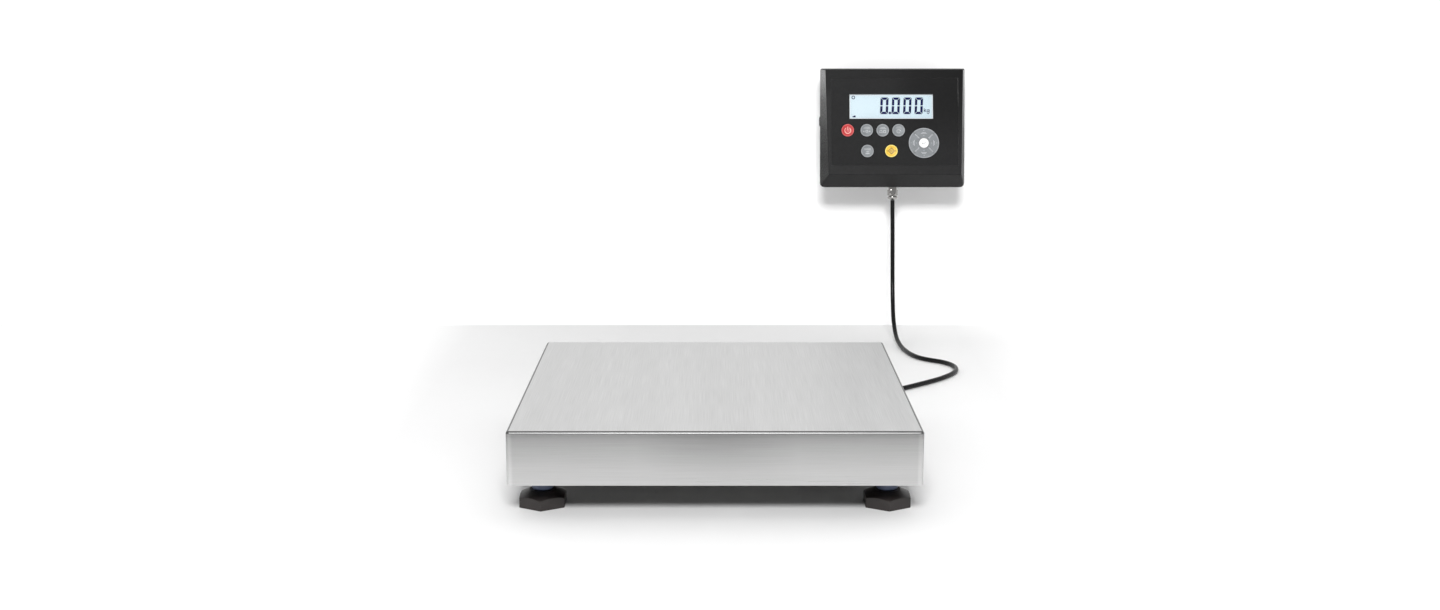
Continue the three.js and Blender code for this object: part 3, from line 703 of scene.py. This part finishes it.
def sleeve(bm, bore, radius, low, high, segments):
    lathe(bm, [(bore, low), (radius, low), (radius, high), (bore, high), (bore, low)], segments)


def socket_screw(name, body, node, place, height):
    """A socket screw with its head's seat at z = 0, its head of that height above and its shank below."""
    bm = bmesh.new()
    edge = SCREW_HEAD - 0.5
    profile = [(0, -SCREW_LENGTH), (SCREW_SHANK - 0.6, -SCREW_LENGTH)]
    profile += threaded(SCREW_SHANK, -SCREW_LENGTH + 0.6, -1.0, 1.0, 0.35)
    profile += [(SCREW_SHANK, 0), (SCREW_HEAD, 0), *arc((edge, height - 0.5), 0.5, 0, 90, 3)]
    lathe(bm, profile)
    hex_socket(bm, edge, SCREW_HEAD, height, height * 0.55)
    add_piece(name, bm, place, ["zinc"], 40, body, "zinc", node)


def make_load_path():
    refined("base_frame_welded", "base_frame", "base", "base_coat", "powder_coat", width=0.9)
    refined("load_frame_folded", "load_frame", "load_carrier", "base_coat", "powder_coat", width=0.9)
    refined("lower_spacer_plate", "lower_spacer", "base", "zinc", "zinc", width=0.4)
    refined("upper_spacer_plate", "upper_spacer", "load_carrier", "zinc", "zinc", width=0.4)
    cell = refined("load_cell_machined", "load_cell", None, "aluminium", "aluminium", width=0.45)
    middle_z = (CELL_BOTTOM + CELL_TOP) / 2
    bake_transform(cell)
    bm = bmesh.new()
    outline = []
    for x, y, start in ((13, 3, 0), (-13, 3, 90), (-13, -3, 180), (13, -3, 270)):
        outline += arc((x, y), 5, start, start + 90, 4)
    for side in (-1, 1):
        spin = move(0, MIDDLE_Y + side * 15, middle_z) @ turn(-90 * side, "X")
        plate(bm, outline, -3.5, 0.5, 0, spin)
    add_piece("load_cell_gauge_seals", bm, BENCH, ["rubber"], 40, "base", "rubber")
    for number, offset in ((1, -8), (2, 8)):
        y = MIDDLE_Y + offset
        place = at(FIXED_X, y, BEAM_TOP - CHANNEL_SHEET) @ turn(180, "X")
        socket_screw(f"fixed_end_screw_{number}", "base", f"load_cell_bolt_{number}", place, 5.3)
        place = at(-FIXED_X, y, CARRIER_TOP + 0.1)
        socket_screw(f"free_end_screw_{number}", "load_carrier", f"load_cell_bolt_{number + 2}", place, 3)


def make_overload_stop(index):
    top = CARRIER_TOP - CHANNEL_SHEET - 0.6 - STOP_SEAT
    bm = bmesh.new()
    corners = [polar(11 / math.sqrt(3), 90 + 60 * i) for i in range(6)]
    rings = [
        [bm.verts.new((x * share, y * share, z)) for x, y in corners]
        for z, share in ((0, 1), (4.7, 1), (5.5, 0.88))
    ]
    skin(bm, rings)
    bm.faces.new(rings[-1])
    bm.faces.new(rings[0][::-1])
    lathe(bm, [(0, 4)] + threaded(3.5, 5, top - 0.6, 1.0, 0.4) + [(2.9, top)], 32)
    hex_socket(bm, 2.9, 3, top, 3)
    number = index + 1
    place = near_corner(index, STOP_X, STOP_INSET, STOP_SEAT)
    add_piece(f"overload_stop_{number}_screw", bm, place, ["zinc"], 35, "base", "zinc",
              f"overload_stop_{number}")


def make_bumper(index):
    low = CARRIER_TOP + 0.1
    height = PLATTER_TOP - SHEET - 0.05 - low
    bm = bmesh.new()
    profile = [(0, 0), (11.2, 0), *arc((11.3, 0.7), 0.7, -90, 0, 3), *arc((10.9, height - 1.1), 1.1, 0, 90)]
    profile += [(6.5, height), (5.8, height - 0.6), (3.2, height - 0.8), (0, height - 0.8)]
    lathe(bm, profile)
    number = index + 1
    place = near_corner(index, CARRIER_X, BUMPER_INSET, low)
    add_piece(f"bumper_{number}_rubber", bm, place, ["rubber"], 50, "load_carrier", "rubber",
              f"bumper_{number}")


def make_foot(index):
    number = index + 1
    body = f"foot_{number}_pad"
    refined(f"foot_pad_{number}_moulding", f"foot_pad_{number}", body, "foot_plastic", "foot_nylon",
            width=1.3, segments=4, angle=24)
    bm = bmesh.new()
    profile = [(5.4, 16.3), *arc((8.4, 18.9), 2.6, -90, 0), *arc((9.8, 32.3), 1.2, 0, 90, 4), (5.4, 33.5)]
    lathe(bm, profile + profile[:1], 64)
    add_piece(f"foot_collar_{number}_turned", bm, near_corner(index, FOOT_X, FOOT_INSET),
              ["collar_plastic"], 50, body, "collar_plastic", f"foot_collar_{number}")


def make_stud(index):
    number = index + 1
    bm = bmesh.new()
    lathe(bm, [(0, 8), (4.2, 8)] + threaded(5, 8.8, 57.2, THREAD_PITCH, 0.75) + [(4.0, 58), (0, 58)], 32)
    add_piece(f"foot_stud_{number}_rod", bm, near_corner(index, FOOT_X, FOOT_INSET), ["zinc"], 60,
              f"foot_{number}_stud", "zinc", f"foot_stud_{number}")


def make_bubble_level():
    place = at(*LEVEL_SPOT)
    bm = bmesh.new()
    profile = [(0, 0), (7.6, 0), *arc((7.5, 0.5), 0.5, -90, 0, 3), *arc((7.3, 7.3), 0.7, 0, 90, 4)]
    lathe(bm, profile + [(6.2, 8.0), (6.0, 7.8), (6.0, 1.5), (0, 1.5)])
    add_piece("bubble_level_cup", bm, place, ["zinc"], 40, "base", "zinc", "bubble_level_housing")
    bm = bmesh.new()
    lathe(bm, [(0, 1.6), (5.9, 1.6), *arc((5.3, 6.9), 0.6, 0, 90, 4), (0, 7.5)])
    band(bm, (0, 0), 2.2, 2.5, 0, 360, 7.5, 7.55, 1, 40)
    lathe(bm, [(0, 7.48), (1.4, 7.5), (1.7, 7.6), (1.2, 7.75), (0, 7.8)], 24, 2)
    finishes = ["level_fluid", "ink_dark", "key_white"]
    add_piece("bubble_level_fluid", bm, place, finishes, 40, "base", "bubble", "bubble_level_vial")


def make_base_gland():
    bm = bmesh.new()
    hexed(bm, 13.4, -5, -0.1, CABLE_HOLE + 2.2)
    sleeve(bm, CABLE_HOLE, 4.9, -6, 3.2, 32)
    hexed(bm, 14.0, 3.15, 7.4, CABLE_HOLE, 0.6)
    profile = [(CABLE_HOLE, 7.5), (6.6, 7.5), (6.6, 8.2), (7.1, 8.5), (7.1, 13.2)]
    profile += [*arc((4.6, 13.4), 2.5, 0, 60), (4.4, 17.0), (3.6, 18.0), (CABLE_HOLE, 18.0)]
    lathe(bm, profile + profile[:1])
    add_piece("base_gland_assembly", bm, at(*BASE_GLAND) @ turn(-90, "X"), ["nickel"], 35, "base", "nickel",
              "base_cable_gland")


LEAD_ROUTE = [
    (75.6, 200, 61), (88, 200, 59.5), (102, 203, 54), (112, 213, 50), (117, 230, 48.6), (118, 250, 43),
    (118, 275, 34), (118, 310, 25), (118, 340, 22.2), (118, 366.6, 22),
]


def make_lead():
    bm = bmesh.new()
    tube(bm, curve_through(LEAD_ROUTE), 2.0, 14)
    add_piece("load_cell_lead_tube", bm, BENCH, ["cable_pvc"], 60, "base", "cable_jacket", "load_cell_lead")


# ---- indicator case ----
def make_case():
    """The front case with its face's long edges rounded, then its small edges."""
    bm = copy_node("front_shell")
    inverse = HEAD.inverted()
    rims = ((FACE_TOP, FACE_HALF_TOP), (FACE_BOTTOM, FACE_HALF_BOTTOM))

    def on_rim(vert):
        """Whether a vertex is at one of the face's four corners."""
        p = inverse @ vert.co
        for (height, depth), half_width in rims:
            if max(abs(abs(p.x) - half_width), abs(p.y + depth), abs(p.z - height)) < 0.4:
                return True
        return False

    round_edges(bm, 12, 2.0, 5, lambda e: any(map(on_rim, e.verts)) and e.calc_length() > 10 * MM)
    round_edges(bm, 40, 0.35, 2)
    bm.normal_update()
    # The side faces take the painted reflection, and the faces above the face the darker painted shade.
    for face in bm.faces:
        above_face = (inverse @ face.calc_center_median()).z > FACE_TOP[0] - 1.8
        is_side = abs(face.normal.x) > 0.8
        face.material_index = 1 if is_side else 2 if above_face else 0
    case = rounded_object("front_case", bm, ["housing_abs", "housing_side_painted_reflection", "housing_top_painted_shade"], 30)
    case.visible_glossy = False  # keeps its dark mirror image off the platter
    settle(case, "indicator", "housing", "front_shell")


def rear_screw(bm, x, z):
    """A pan-head cross-slot screw sunk in the back of the case, facing backwards."""
    place = move(x, REAR_DEPTH, z) @ turn(-90, "X")
    profile = [(0, -6), (1.4, -6), (1.4, 0), (2.8, 0), *arc((2.0, 0.5), 0.8, 0, 90, 4), (0, 1.35)]
    lathe(bm, profile, 28, 0, place)
    # Each cross slot is a thin black plate on the head: painted shade where the recess would be.
    for spin in (0, 90):
        plate(bm, rectangle(0, 0, 1.6, 0.3), 1.3, 1.42, 1, place @ turn(spin, "Z"))


def make_rear():
    rear = refined("rear_case", "rear_shell", "indicator", "housing", "housing_abs", width=1.1, segments=4,
                   angle=40)
    rear.visible_glossy = False
    bm = bmesh.new()
    for x in (-82, 82):
        for z in (-66, 66):
            rear_screw(bm, x, z)
    add_piece("rear_case_screws", bm, HEAD, ["zinc", "black_print_and_painted_shade"], 40, "indicator", "zinc")
    bm = bmesh.new()
    place = move(0, REAR_DEPTH) @ turn(-90, "X")
    for i in range(9):
        z = -30 + i * 3.0
        plate(bm, arc((24, z), 0.7, -90, 90, 4) + arc((-24, z), 0.7, 90, 270, 4), 0, 0.25, 0, place)
    add_piece("battery_door_ribs", bm, HEAD, ["housing_abs"], 40, "indicator", "housing")


# ---- indicator face: film, window, display ----
FILM_INK = (-0.4, -0.36)  # heights of the print's underside and top
LCD_INK = (-3.12, -3.04)


def make_film():
    film = refined("keypad_film", "keypad_overlay", "indicator", "overlay_film", "overlay_film", width=0.15,
                   segments=1)
    film.visible_glossy = False
    bm = bmesh.new()
    for _, spot, *_ in KEYS:
        band(bm, spot, KEY_RADIUS + 0.62, KEY_RADIUS + 1.5, 0, 360, *FILM_INK, 0, 64)
    band(bm, NAV_SPOT, NAV_RADIUS + 0.62, NAV_RADIUS + 1.6, 0, 360, *FILM_INK, 0, 96)
    low, high = LCD["v"] - LCD["height"] / 2, LCD["v"] + LCD["height"] / 2
    left, right = LCD["u"] - LCD["width"] / 2, LCD["u"] + LCD["width"] / 2
    for v in (low - 0.6, high + 0.6):
        stroke(bm, (left - 1, v), (right + 1, v), 1.0, *FILM_INK)
    for u in (left - 0.6, right + 0.6):
        stroke(bm, (u, low), (u, high), 1.0, *FILM_INK)
    add_piece("keypad_film_print", bm, FACE, ["black_print_and_painted_shade"], 0, "indicator", "overlay_film")


SLANT = math.tan(math.radians(2.8))
DIGIT = {"left": -15.3, "pitch": 16.35, "width": 11.4, "low": 18.0, "high": 41.9, "stroke": 3.4, "gap": 0.15}
DECIMAL_POINT = (-1.7, 19.6)


def make_digit(bm, left):
    """The six lit bars of a seven-bar zero, leaning to the right."""
    width, bar, gap, low, high = (DIGIT[key] for key in ("width", "stroke", "gap", "low", "high"))
    middle = (low + high) / 2
    left_end, right_end = gap + 0.5, width - gap - 0.5
    bars = []
    for end, inward in ((high, -1), (low, 1)):
        inner = end + inward * bar
        bars.append([(left_end, end), (right_end, end), (width - bar - gap, inner), (bar + gap, inner)])
        stop = middle - inward * 0.6
        upright = [(0, end + inward * (gap + 0.5)), (bar, inner + inward * (gap + 0.2))]
        upright += [(bar, stop), (0, stop)]
        bars += [upright, [(width - x, y) for x, y in upright]]
    for outline in bars:
        plate(bm, [(left + x + (y - middle) * SLANT, y) for x, y in outline], *LCD_INK)


def make_display():
    refined("display_pane", "display_window", "indicator", "clear", "clear_window", width=0.25, segments=2)
    refined("lcd_module_frame", "lcd_module", "indicator", "lcd", "rubber", width=0.5)
    half_width, half_height = LCD["width"] / 2 + 2, LCD["height"] / 2 + 2
    border = 3.2
    place = on_face(LCD["u"], 0)
    bm = bmesh.new()
    plate(bm, rectangle(0, LCD["v"], half_width, half_height), -3.28, -3.2, 1)
    plate(bm, rectangle(0, LCD["v"], half_width - border, half_height - border), -3.2, -3.14, 0)
    add_piece("lcd_glass", bm, place, ["lcd_backlight", "lcd_edge"], 0, "indicator", "lcd")
    bm = bmesh.new()
    for i in range(4):
        make_digit(bm, DIGIT["left"] + i * DIGIT["pitch"])
    plate(bm, arc(DECIMAL_POINT, 1.9, 0, 330, 11), *LCD_INK)
    # The corner symbols on the left, and the unit mark: a stem with two arms, and a loop with a tail.
    band(bm, (-53.5, 41.9), 1.5, 2.6, 0, 360, *LCD_INK, 0, 24)
    flag = ((0, 0), (4.4, 0), (4.4, 2.6), (2.6, 2.6), (1.4, 1.6), (0, 1.6))
    plate(bm, [(-54.8 + x, 13.4 + y) for x, y in flag], *LCD_INK)
    stroke(bm, (47.0, 21.0), (47.0, 26.4), 0.95, *LCD_INK)
    stroke(bm, (47.2, 22.8), (49.8, 24.9), 0.85, *LCD_INK)
    stroke(bm, (47.9, 23.3), (50.0, 21.0), 0.85, *LCD_INK)
    band(bm, (52.5, 22.9), 1.0, 1.95, 0, 360, *LCD_INK, 0, 20)
    stroke(bm, (54.1, 24.8), (54.1, 20.2), 0.95, *LCD_INK)
    band(bm, (52.5, 20.3), 1.0, 1.95, 180, 350, *LCD_INK, 0, 10)
    add_piece("lcd_segments", bm, place, ["lcd_segment"], 0, "indicator", "lcd")


# ---- keys ----
KEY_DISH = KEY_PROUD - 0.16
INK_LOW, INK_HIGH = 0.34, 0.40
INK = (INK_LOW, INK_HIGH, 2)  # heights and material of a mark on a cap


def triangle(bm, tip, size, degrees, material=2):
    """A small printed arrowhead, its tip pointing that way."""
    points = [polar(size * reach, degrees + spin, tip) for spin, reach in ((0, 1), (130, 0.8), (230, 0.8))]
    plate(bm, points, INK_LOW, INK_HIGH, material)


def level_lines(bm, *lines):
    """Lines across the middle of a cap, from (half their length, height, width)."""
    for half, y, width in lines:
        stroke(bm, (-half, y), (half, y), width, *INK)


def outline_strokes(bm, points, width):
    for a, b in zip(points, points[1:] + points[:1]):
        stroke(bm, a, b, width, *INK)


def print_power(bm):
    band(bm, (0, -0.4), 3.8, 4.7, 122, 418, *INK)
    stroke(bm, (0, 0.2), (0, 5.2), 0.9, *INK)


def print_zero(bm):
    band(bm, (0, -1.6), 1.3, 1.8, 0, 360, *INK, 24)
    triangle(bm, (-4.2, -1.6), 1.3, 0)
    triangle(bm, (4.2, -1.6), 1.3, 180)
    level_lines(bm, (4.5, 3.0, 0.55), (3.2, 4.5, 0.45))


def print_net(bm):
    for x in (-2.6, 2.6):
        outline_strokes(bm, [(x - 1.9, -3.4), (x + 1.9, -3.4), (x + 1.2, -0.2), (x - 1.2, -0.2)], 0.5)
    level_lines(bm, (4.6, 2.2, 0.5), (3.0, 3.9, 0.45))


def print_mode(bm):
    band(bm, (0, -1.4), 2.3, 2.8, 40, 320, *INK)
    triangle(bm, (2.3, -0.4), 1.4, 110)
    level_lines(bm, (4.2, 3.2, 0.5), (2.8, 4.8, 0.45))


def print_sheet(bm):
    level_lines(bm, (4.6, 3.0, 0.5), (4.6, 1.6, 0.4), (2.8, -3.8, 1.0), (1.7, -1.3, 0.8))


def print_tare(bm):
    outline_strokes(bm, [(0, 4.4), (4.2, 0), (0, -4.4), (-4.2, 0)], 0.9)
    band(bm, (0, 0), 0.9, 1.6, 0, 360, *INK, 20)
    triangle(bm, (-6.0, 0), 1.2, 0)
    triangle(bm, (6.0, 0), 1.2, 180)


KEYS = (  # name, place on the face, paint, ink and mark
    ("key_power", (-66.55, -5.7), "key_red", "ink_pale", print_power),
    ("key_zero", (-39.65, -5.7), "key_grey", "ink_light", print_zero),
    ("key_net", (-17.05, -5.7), "key_grey", "ink_light", print_net),
    ("key_mode", (5.45, -5.7), "key_grey", "ink_light", print_mode),
    ("key_print", (-38.85, -35.3), "key_grey", "ink_light", print_sheet),
    ("key_tare", (-4.95, -35.3), "key_yellow", "ink_brown", print_tare),
)


def key_profile(radius, rim):
    """A cap's underside and side, the lip round its top, and its shallow dish, as three lists of points."""
    low = KEY_PROUD - KEY_THICK
    side = [(0, low), (radius - 0.2, low), (radius, low + 0.2)]
    lip = [*arc((radius - 0.35, KEY_PROUD - 0.35), 0.35, 0, 90, 4), (radius - rim + 0.2, KEY_PROUD - 0.02)]
    return side, lip, [(radius - rim, KEY_DISH), (0, KEY_DISH)]


def make_cap(name, spot, paint, ink, mark):
    bm = bmesh.new()
    side, lip, dish = key_profile(KEY_RADIUS, 1.1)
    lathe(bm, side, 56, 0)
    # The lip takes the lighter rim colour: a painted highlight.
    lathe(bm, side[-1:] + lip + dish[:1], 56, 1)
    lathe(bm, dish, 56, 0)
    mark(bm)
    add_piece(name + "_cap", bm, on_face(*spot), [paint, paint + "_rim", ink], 40, name, paint, name)


def make_enter():
    bm = bmesh.new()
    side, lip, dish = key_profile(HUB_RADIUS, 0.9)
    lathe(bm, side + lip + dish)
    stroke(bm, (-2.0, -0.4), (2.2, -0.4), 0.7, INK_LOW, INK_HIGH, 1)
    stroke(bm, (1.85, 1.6), (1.85, -0.7), 0.7, INK_LOW, INK_HIGH, 1)
    triangle(bm, (-2.0, -0.4), 1.3, 180, 1)
    add_piece("key_enter_cap", bm, on_face(*NAV_SPOT), ["key_white", "nav_grey"], 40, "key_enter",
              "key_white", "key_enter")


def make_arrow_key(name, quarter):
    """A quarter of the ring round the enter key: its rim, its half of each dividing line and its arrows."""
    inner, outer = HUB_RADIUS + 0.5, NAV_RADIUS
    middle = 90 * quarter
    bm = bmesh.new()

    def sector(radius_in, radius_out, gap):
        out = math.degrees(math.asin(gap / radius_out))
        back = math.degrees(math.asin(gap / radius_in))
        ends = arc((0, 0), radius_out, middle - 45 + out, middle + 45 - out, 20)
        return ends + arc((0, 0), radius_in, middle + 45 - back, middle - 45 + back, 12)

    plate(bm, sector(inner, outer, 0.15), KEY_PROUD - KEY_THICK, KEY_DISH)
    plate(bm, sector(inner + 0.15, outer - 0.1, 0.25), KEY_DISH - 0.01, KEY_DISH + 0.03)
    reach = 45 - math.degrees(math.asin(0.2 / outer))
    # The raised outer rim takes the lighter rim colour: a painted highlight.
    band(bm, (0, 0), outer - 1.1, outer, middle - reach, middle + reach, KEY_DISH, KEY_PROUD, 1, 24)
    for side in (-1, 1):
        ray = Vector(polar(outer, middle + 45 * side))
        across = Vector((ray.y, -ray.x)).normalized() * side * 0.42
        stroke(bm, ray * 0.43 + across, ray * 0.83 + across, 0.45, INK_LOW + 0.02, INK_HIGH + 0.04, 2)
    for share, spin in ((0.84, 0), (0.50, 180)):
        triangle(bm, polar(outer * share, middle), 0.85, middle + spin)
    for start, end, spin in ((0.64, 0.665, 17), (0.70, 0.72, 11)):
        band(bm, (0, 0), outer * start, outer * end, middle - spin, middle + spin, INK_LOW + 0.02,
             INK_HIGH + 0.02, 2)
    add_piece(name + "_cap", bm, on_face(*NAV_SPOT), ["nav_grey", "nav_rim", "ink_light"], 40, name,
              "key_grey", name)


# ---- inside the indicator ----
BOARD_BACK = -15.6  # the height on the face of the side of the board that carries its parts
CHIPS = ((-30, 18, 18, 18), (10, -8, 12, 9), (-55, -20, 8, 6), (48, 22, 14, 10), (30, -34, 7, 5))
CANS = ((62, -12), (62, -26), (-66, 8))


def make_circuit():
    refined("keypad_circuit_sheet", "keypad_circuit", "indicator", "overlay_film", "overlay_film", width=0.1,
            segments=1)
    bm = bmesh.new()
    spots = [spot for _, spot, *_ in KEYS] + [NAV_SPOT]
    spots += [polar(14.5, 90 * i, NAV_SPOT) for i in range(4)]
    for u, v in spots:
        lathe(bm, [(0, 0), (4, 0), (3.4, 0.25), (1.6, 0.45), (0, 0.5)], 24, 0, move(u, v, -3.7))
    add_piece("key_switch_domes", bm, FACE, ["nickel"], 50, "indicator", "nickel")


def block(bm, middle, size, material):
    x, y, z = middle
    width, depth, height = (side / 2 for side in size)
    plate(bm, rectangle(x, y, width, depth), z - height, z + height, material)


def make_board():
    refined("main_board_laminate", "main_board", "indicator", "board", "circuit_board", width=0.15,
            segments=1)
    bm = bmesh.new()
    for u, v, width, height in CHIPS:
        block(bm, (u, v, BOARD_BACK - 0.9), (width, height, 1.6), 0)
        for i in range(int(width // 2)):
            for side in (-1, 1):
                pin = (u - width / 2 + 1 + 2 * i, v + side * (height / 2 + 0.7), BOARD_BACK - 0.3)
                block(bm, pin, (0.7, 1.6, 0.4), 1)
    for u, v in CANS:
        place = move(u, v, BOARD_BACK) @ turn(180, "X")
        lathe(bm, [(0, 0), (4, 0), (4, 6.8), (3.6, 7.2), (0, 7.2)], 28, 2, place)
    for i in range(3):
        block(bm, (-20 + 26 * i, -44, BOARD_BACK - 2.5), (16, 7, 5), 3)
    finishes = ["rubber", "nickel", "battery_wrap", "key_white"]
    add_piece("main_board_parts", bm, FACE, finishes, 40, "indicator", "board")


def make_battery():
    """Six round cells side by side in one shrink wrap."""
    bm = bmesh.new()
    rounded = [(0, 0), (6.4, 0), *arc((6.5, 1), 1, -90, 0, 3), *arc((6.5, 45), 1, 0, 90, 3), (0, 46)]
    for i in range(6):
        place = move(-37.5 + 15 * i, 11.5, -66)
        lathe(bm, rounded, 32, 0, place)
        lathe(bm, [(0, 45.9), (2.4, 45.9), (2.4, 46.4), (0, 46.4)], 20, 1, place)
    block(bm, (0, 11.5, -43), (76, 12.6, 38), 0)
    add_piece("battery_cells", bm, HEAD, ["battery_wrap", "nickel"], 40, "indicator", "battery",
              "battery_pack")


# ---- under the indicator: gland and power socket ----
def make_gland():
    place = HEAD @ move(*GLAND)
    top = -REAR_HALF_HEIGHT - 0.05
    hole = CABLE_HOLE
    bm = bmesh.new()
    sleeve(bm, hole, 4.9, top - 2, top + 5.3, 32)
    hexed(bm, 14, top - 5.2, top - 1.0, hole, 0.6)
    sleeve(bm, hole, 6.9, top - 1.0, top, 40)
    sleeve(bm, hole, 6.3, top - 10, top - 5.2, 40)
    add_piece("gland_body_turned", bm, place, ["nickel"], 35, "indicator", "nickel", "gland_body")
    bm = bmesh.new()
    high = top - 10.05
    low = high - 14.5
    hexed(bm, 13.2, high - 8, high, hole, 0.4)
    profile = [(hole, low), (3.7, low), (4.4, low + 0.4), *arc((4.7, low + 3.3), 2.4, -75, 75, 12)]
    lathe(bm, profile + [(5.4, high - 8), (hole, high - 8), (hole, low)])
    add_piece("gland_nut_turned", bm, place, ["nickel"], 35, "indicator", "nickel", "gland_nut")


def make_socket():
    place = HEAD @ move(40, GLAND[1], -REAR_HALF_HEIGHT)
    bm = bmesh.new()
    profile = [(2.6, -1.6), (3.0, -1.8), (5.6, -1.8), (5.95, -1.4), (5.95, -0.1), (3.95, -0.1)]
    lathe(bm, profile + [(3.95, 9), (0, 9), (0, 6), (2.6, 6), (2.6, -1.6)], 40)
    lathe(bm, [(0, -1.2), (0.7, -0.8), (0.8, 6.2), (0, 6.2)], 20, 1)
    add_piece("power_socket_barrel", bm, place, ["rubber", "nickel"], 40, "indicator", "rubber",
              "power_socket")


# ---- tilt knobs ----
def fluted(bm, radius, flute, count, low, high, chamfer):
    """A round grip with shallow flutes, chamfered at both ends."""
    def dip(angle):
        return flute * max(0.0, math.cos(angle * count)) ** 0.6

    rings = []
    for z, ease in ((low, chamfer), (low + chamfer, 0), (high - chamfer, 0), (high, chamfer)):
        rings.append(ring(bm, lambda angle: radius - ease - dip(angle), z, count * 8))
    skin(bm, rings)
    bm.faces.new(rings[0][::-1])
    bm.faces.new(rings[-1])


def make_knob(name, side):
    place = HEAD @ move(0, PIVOT[1], PIVOT[0]) @ turn(90 * side, "Y")
    inner = BRACKET_HALF_WIDTH + 0.1
    bm = bmesh.new()
    fluted(bm, 7.3, 0.7, 12, inner, KNOB_REACH - 0.4, 0.7)
    lathe(bm, [(5.4, KNOB_REACH - 0.5), (5.0, KNOB_REACH - 0.05), (4.0, KNOB_REACH), (0, KNOB_REACH)], 36)
    lathe(bm, [(0, 87), (2.4, 87)] + threaded(3, 87.6, 95.2, 1.0, 0.4) + [(3, 96), (3, inner + 0.5)], 28, 1)
    add_piece(name + "_fluted", bm, place, ["foot_nylon", "zinc"], 35, name, "foot_plastic", name)


# ---- floor, backdrop and light ----
STAGE_SIZE = 9.0
LAMP_SPOT, LAMP_AIM, LAMP_SIZE = (-0.1, -2.75, 2.0), (0.02, 0.1, 0.1), (0.9, 0.7)
KEY_POWER, WALL_POWER = 84, 30
WORLD_STRENGTH = 0.9


def backdrop_material():
    """Pale from the front, and see-through from behind so that it hides nothing in views of the back."""
    material, tree, shader = nodes_of("backdrop")
    feed(shader, Base_Color=(0.93, 0.93, 0.93, 1.0), Roughness=0.9)
    clear = add_node(tree, "BsdfTransparent")
    side = add_node(tree, "NewGeometry")
    mix = add_node(tree, "MixShader", Fac=side.outputs["Backfacing"])
    tree.links.new(shader.outputs["BSDF"], mix.inputs[1])
    tree.links.new(clear.outputs["BSDF"], mix.inputs[2])
    tree.links.new(mix.outputs["Shader"], tree.nodes["Material Output"].inputs["Surface"])
    return material


def add_plane(name, material, spot):
    bpy.ops.mesh.primitive_plane_add(size=STAGE_SIZE, location=spot)
    plane = bpy.context.object
    plane.name = name
    plane.data.materials.append(material)
    return plane


def make_stage():
    grey = textured("floor", (0.97, 0.97, 0.97), 0.7, 20, variation=0.004, bump=0.0)
    # Painted shade round the platform and painted shadows behind it and under it.
    shaded(grey, ("X", FLOOR_PAINTED_SHADE), ("X", BACK_PAINTED_SHADOW, "Y", BACK_STRENGTH),
           ("X", UNDER_PAINTED_SHADOW, "Y", UNDER_STRENGTH))
    floor = add_plane("floor", grey, (0, 0, 0))
    wall = add_plane("wall", backdrop_material(), (0, ORIGIN.y + (WALL_Y + 0.5) * MM, STAGE_SIZE / 2))
    wall.data.transform(Matrix.Rotation(math.pi / 2, 4, "X"))
    wall.visible_shadow = False
    wall.visible_glossy = False  # keeps the indicator's shadow out of the platter's mirror image
    add_lamp("key_light", KEY_POWER)
    only_wall = bpy.data.collections.new("lit_by_wall_light")
    only_wall.objects.link(wall)
    add_lamp("wall_light", WALL_POWER).light_linking.receiver_collection = only_wall


def add_lamp(name, power):
    """A rectangular lamp in front of the scale, up and to the left."""
    data = bpy.data.lights.new(name, "AREA")
    data.shape = "RECTANGLE"
    data.size, data.size_y = LAMP_SIZE
    data.energy = power
    lamp = add_object(name, data)
    lamp.location = LAMP_SPOT
    lamp.rotation_euler = (Vector(LAMP_AIM) - Vector(LAMP_SPOT)).to_track_quat("-Z", "Y").to_euler()
    return lamp


def make_world():
    """A pale studio, white behind the scale and darker low down in front of it."""
    world = bpy.data.worlds.new("studio")
    bpy.context.scene.world = world
    world.use_nodes = True
    tree = world.node_tree
    where = add_node(tree, "TexCoord").outputs["Generated"]
    slope = add_node(tree, "VectorMath")
    slope.operation = "DOT_PRODUCT"
    slope.inputs[1].default_value = (0, 0.45, 0.12)
    tree.links.new(where, slope.inputs[0])
    lift = add_node(tree, "Math")
    lift.operation = "ADD"
    lift.inputs[1].default_value = 0.5
    tree.links.new(slope.outputs["Value"], lift.inputs[0])
    greys = ((0.05, 0.42), (0.45, 0.46), (0.62, 0.56), (0.85, 0.95))
    tint = ramp(tree, lift.outputs["Value"], [(place, (grey,) * 3) for place, grey in greys])
    feed(tree.nodes["Background"], Color=tint, Strength=WORLD_STRENGTH)


make_camera()
make_cable()
make_platter()
for index in range(4):
    make_foot(index)
make_load_path()
for index in range(4):
    make_overload_stop(index)
    make_bumper(index)
    make_stud(index)
make_bubble_level()
make_base_gland()
make_lead()
make_case()
make_rear()
make_film()
make_display()
for key in KEYS:
    make_cap(*key)
make_enter()
for quarter, name in enumerate(("key_right", "key_up", "key_left", "key_down")):
    make_arrow_key(name, quarter)
make_circuit()
make_board()
make_battery()
make_gland()
make_socket()
make_knob("tilt_knob_left", -1)
make_knob("tilt_knob_right", 1)
refined("wall_bracket_folded", "wall_bracket", "base", "zinc", "zinc", width=0.5)
make_stage()
make_world()
bpy.context.scene.view_settings.view_transform = "Standard"
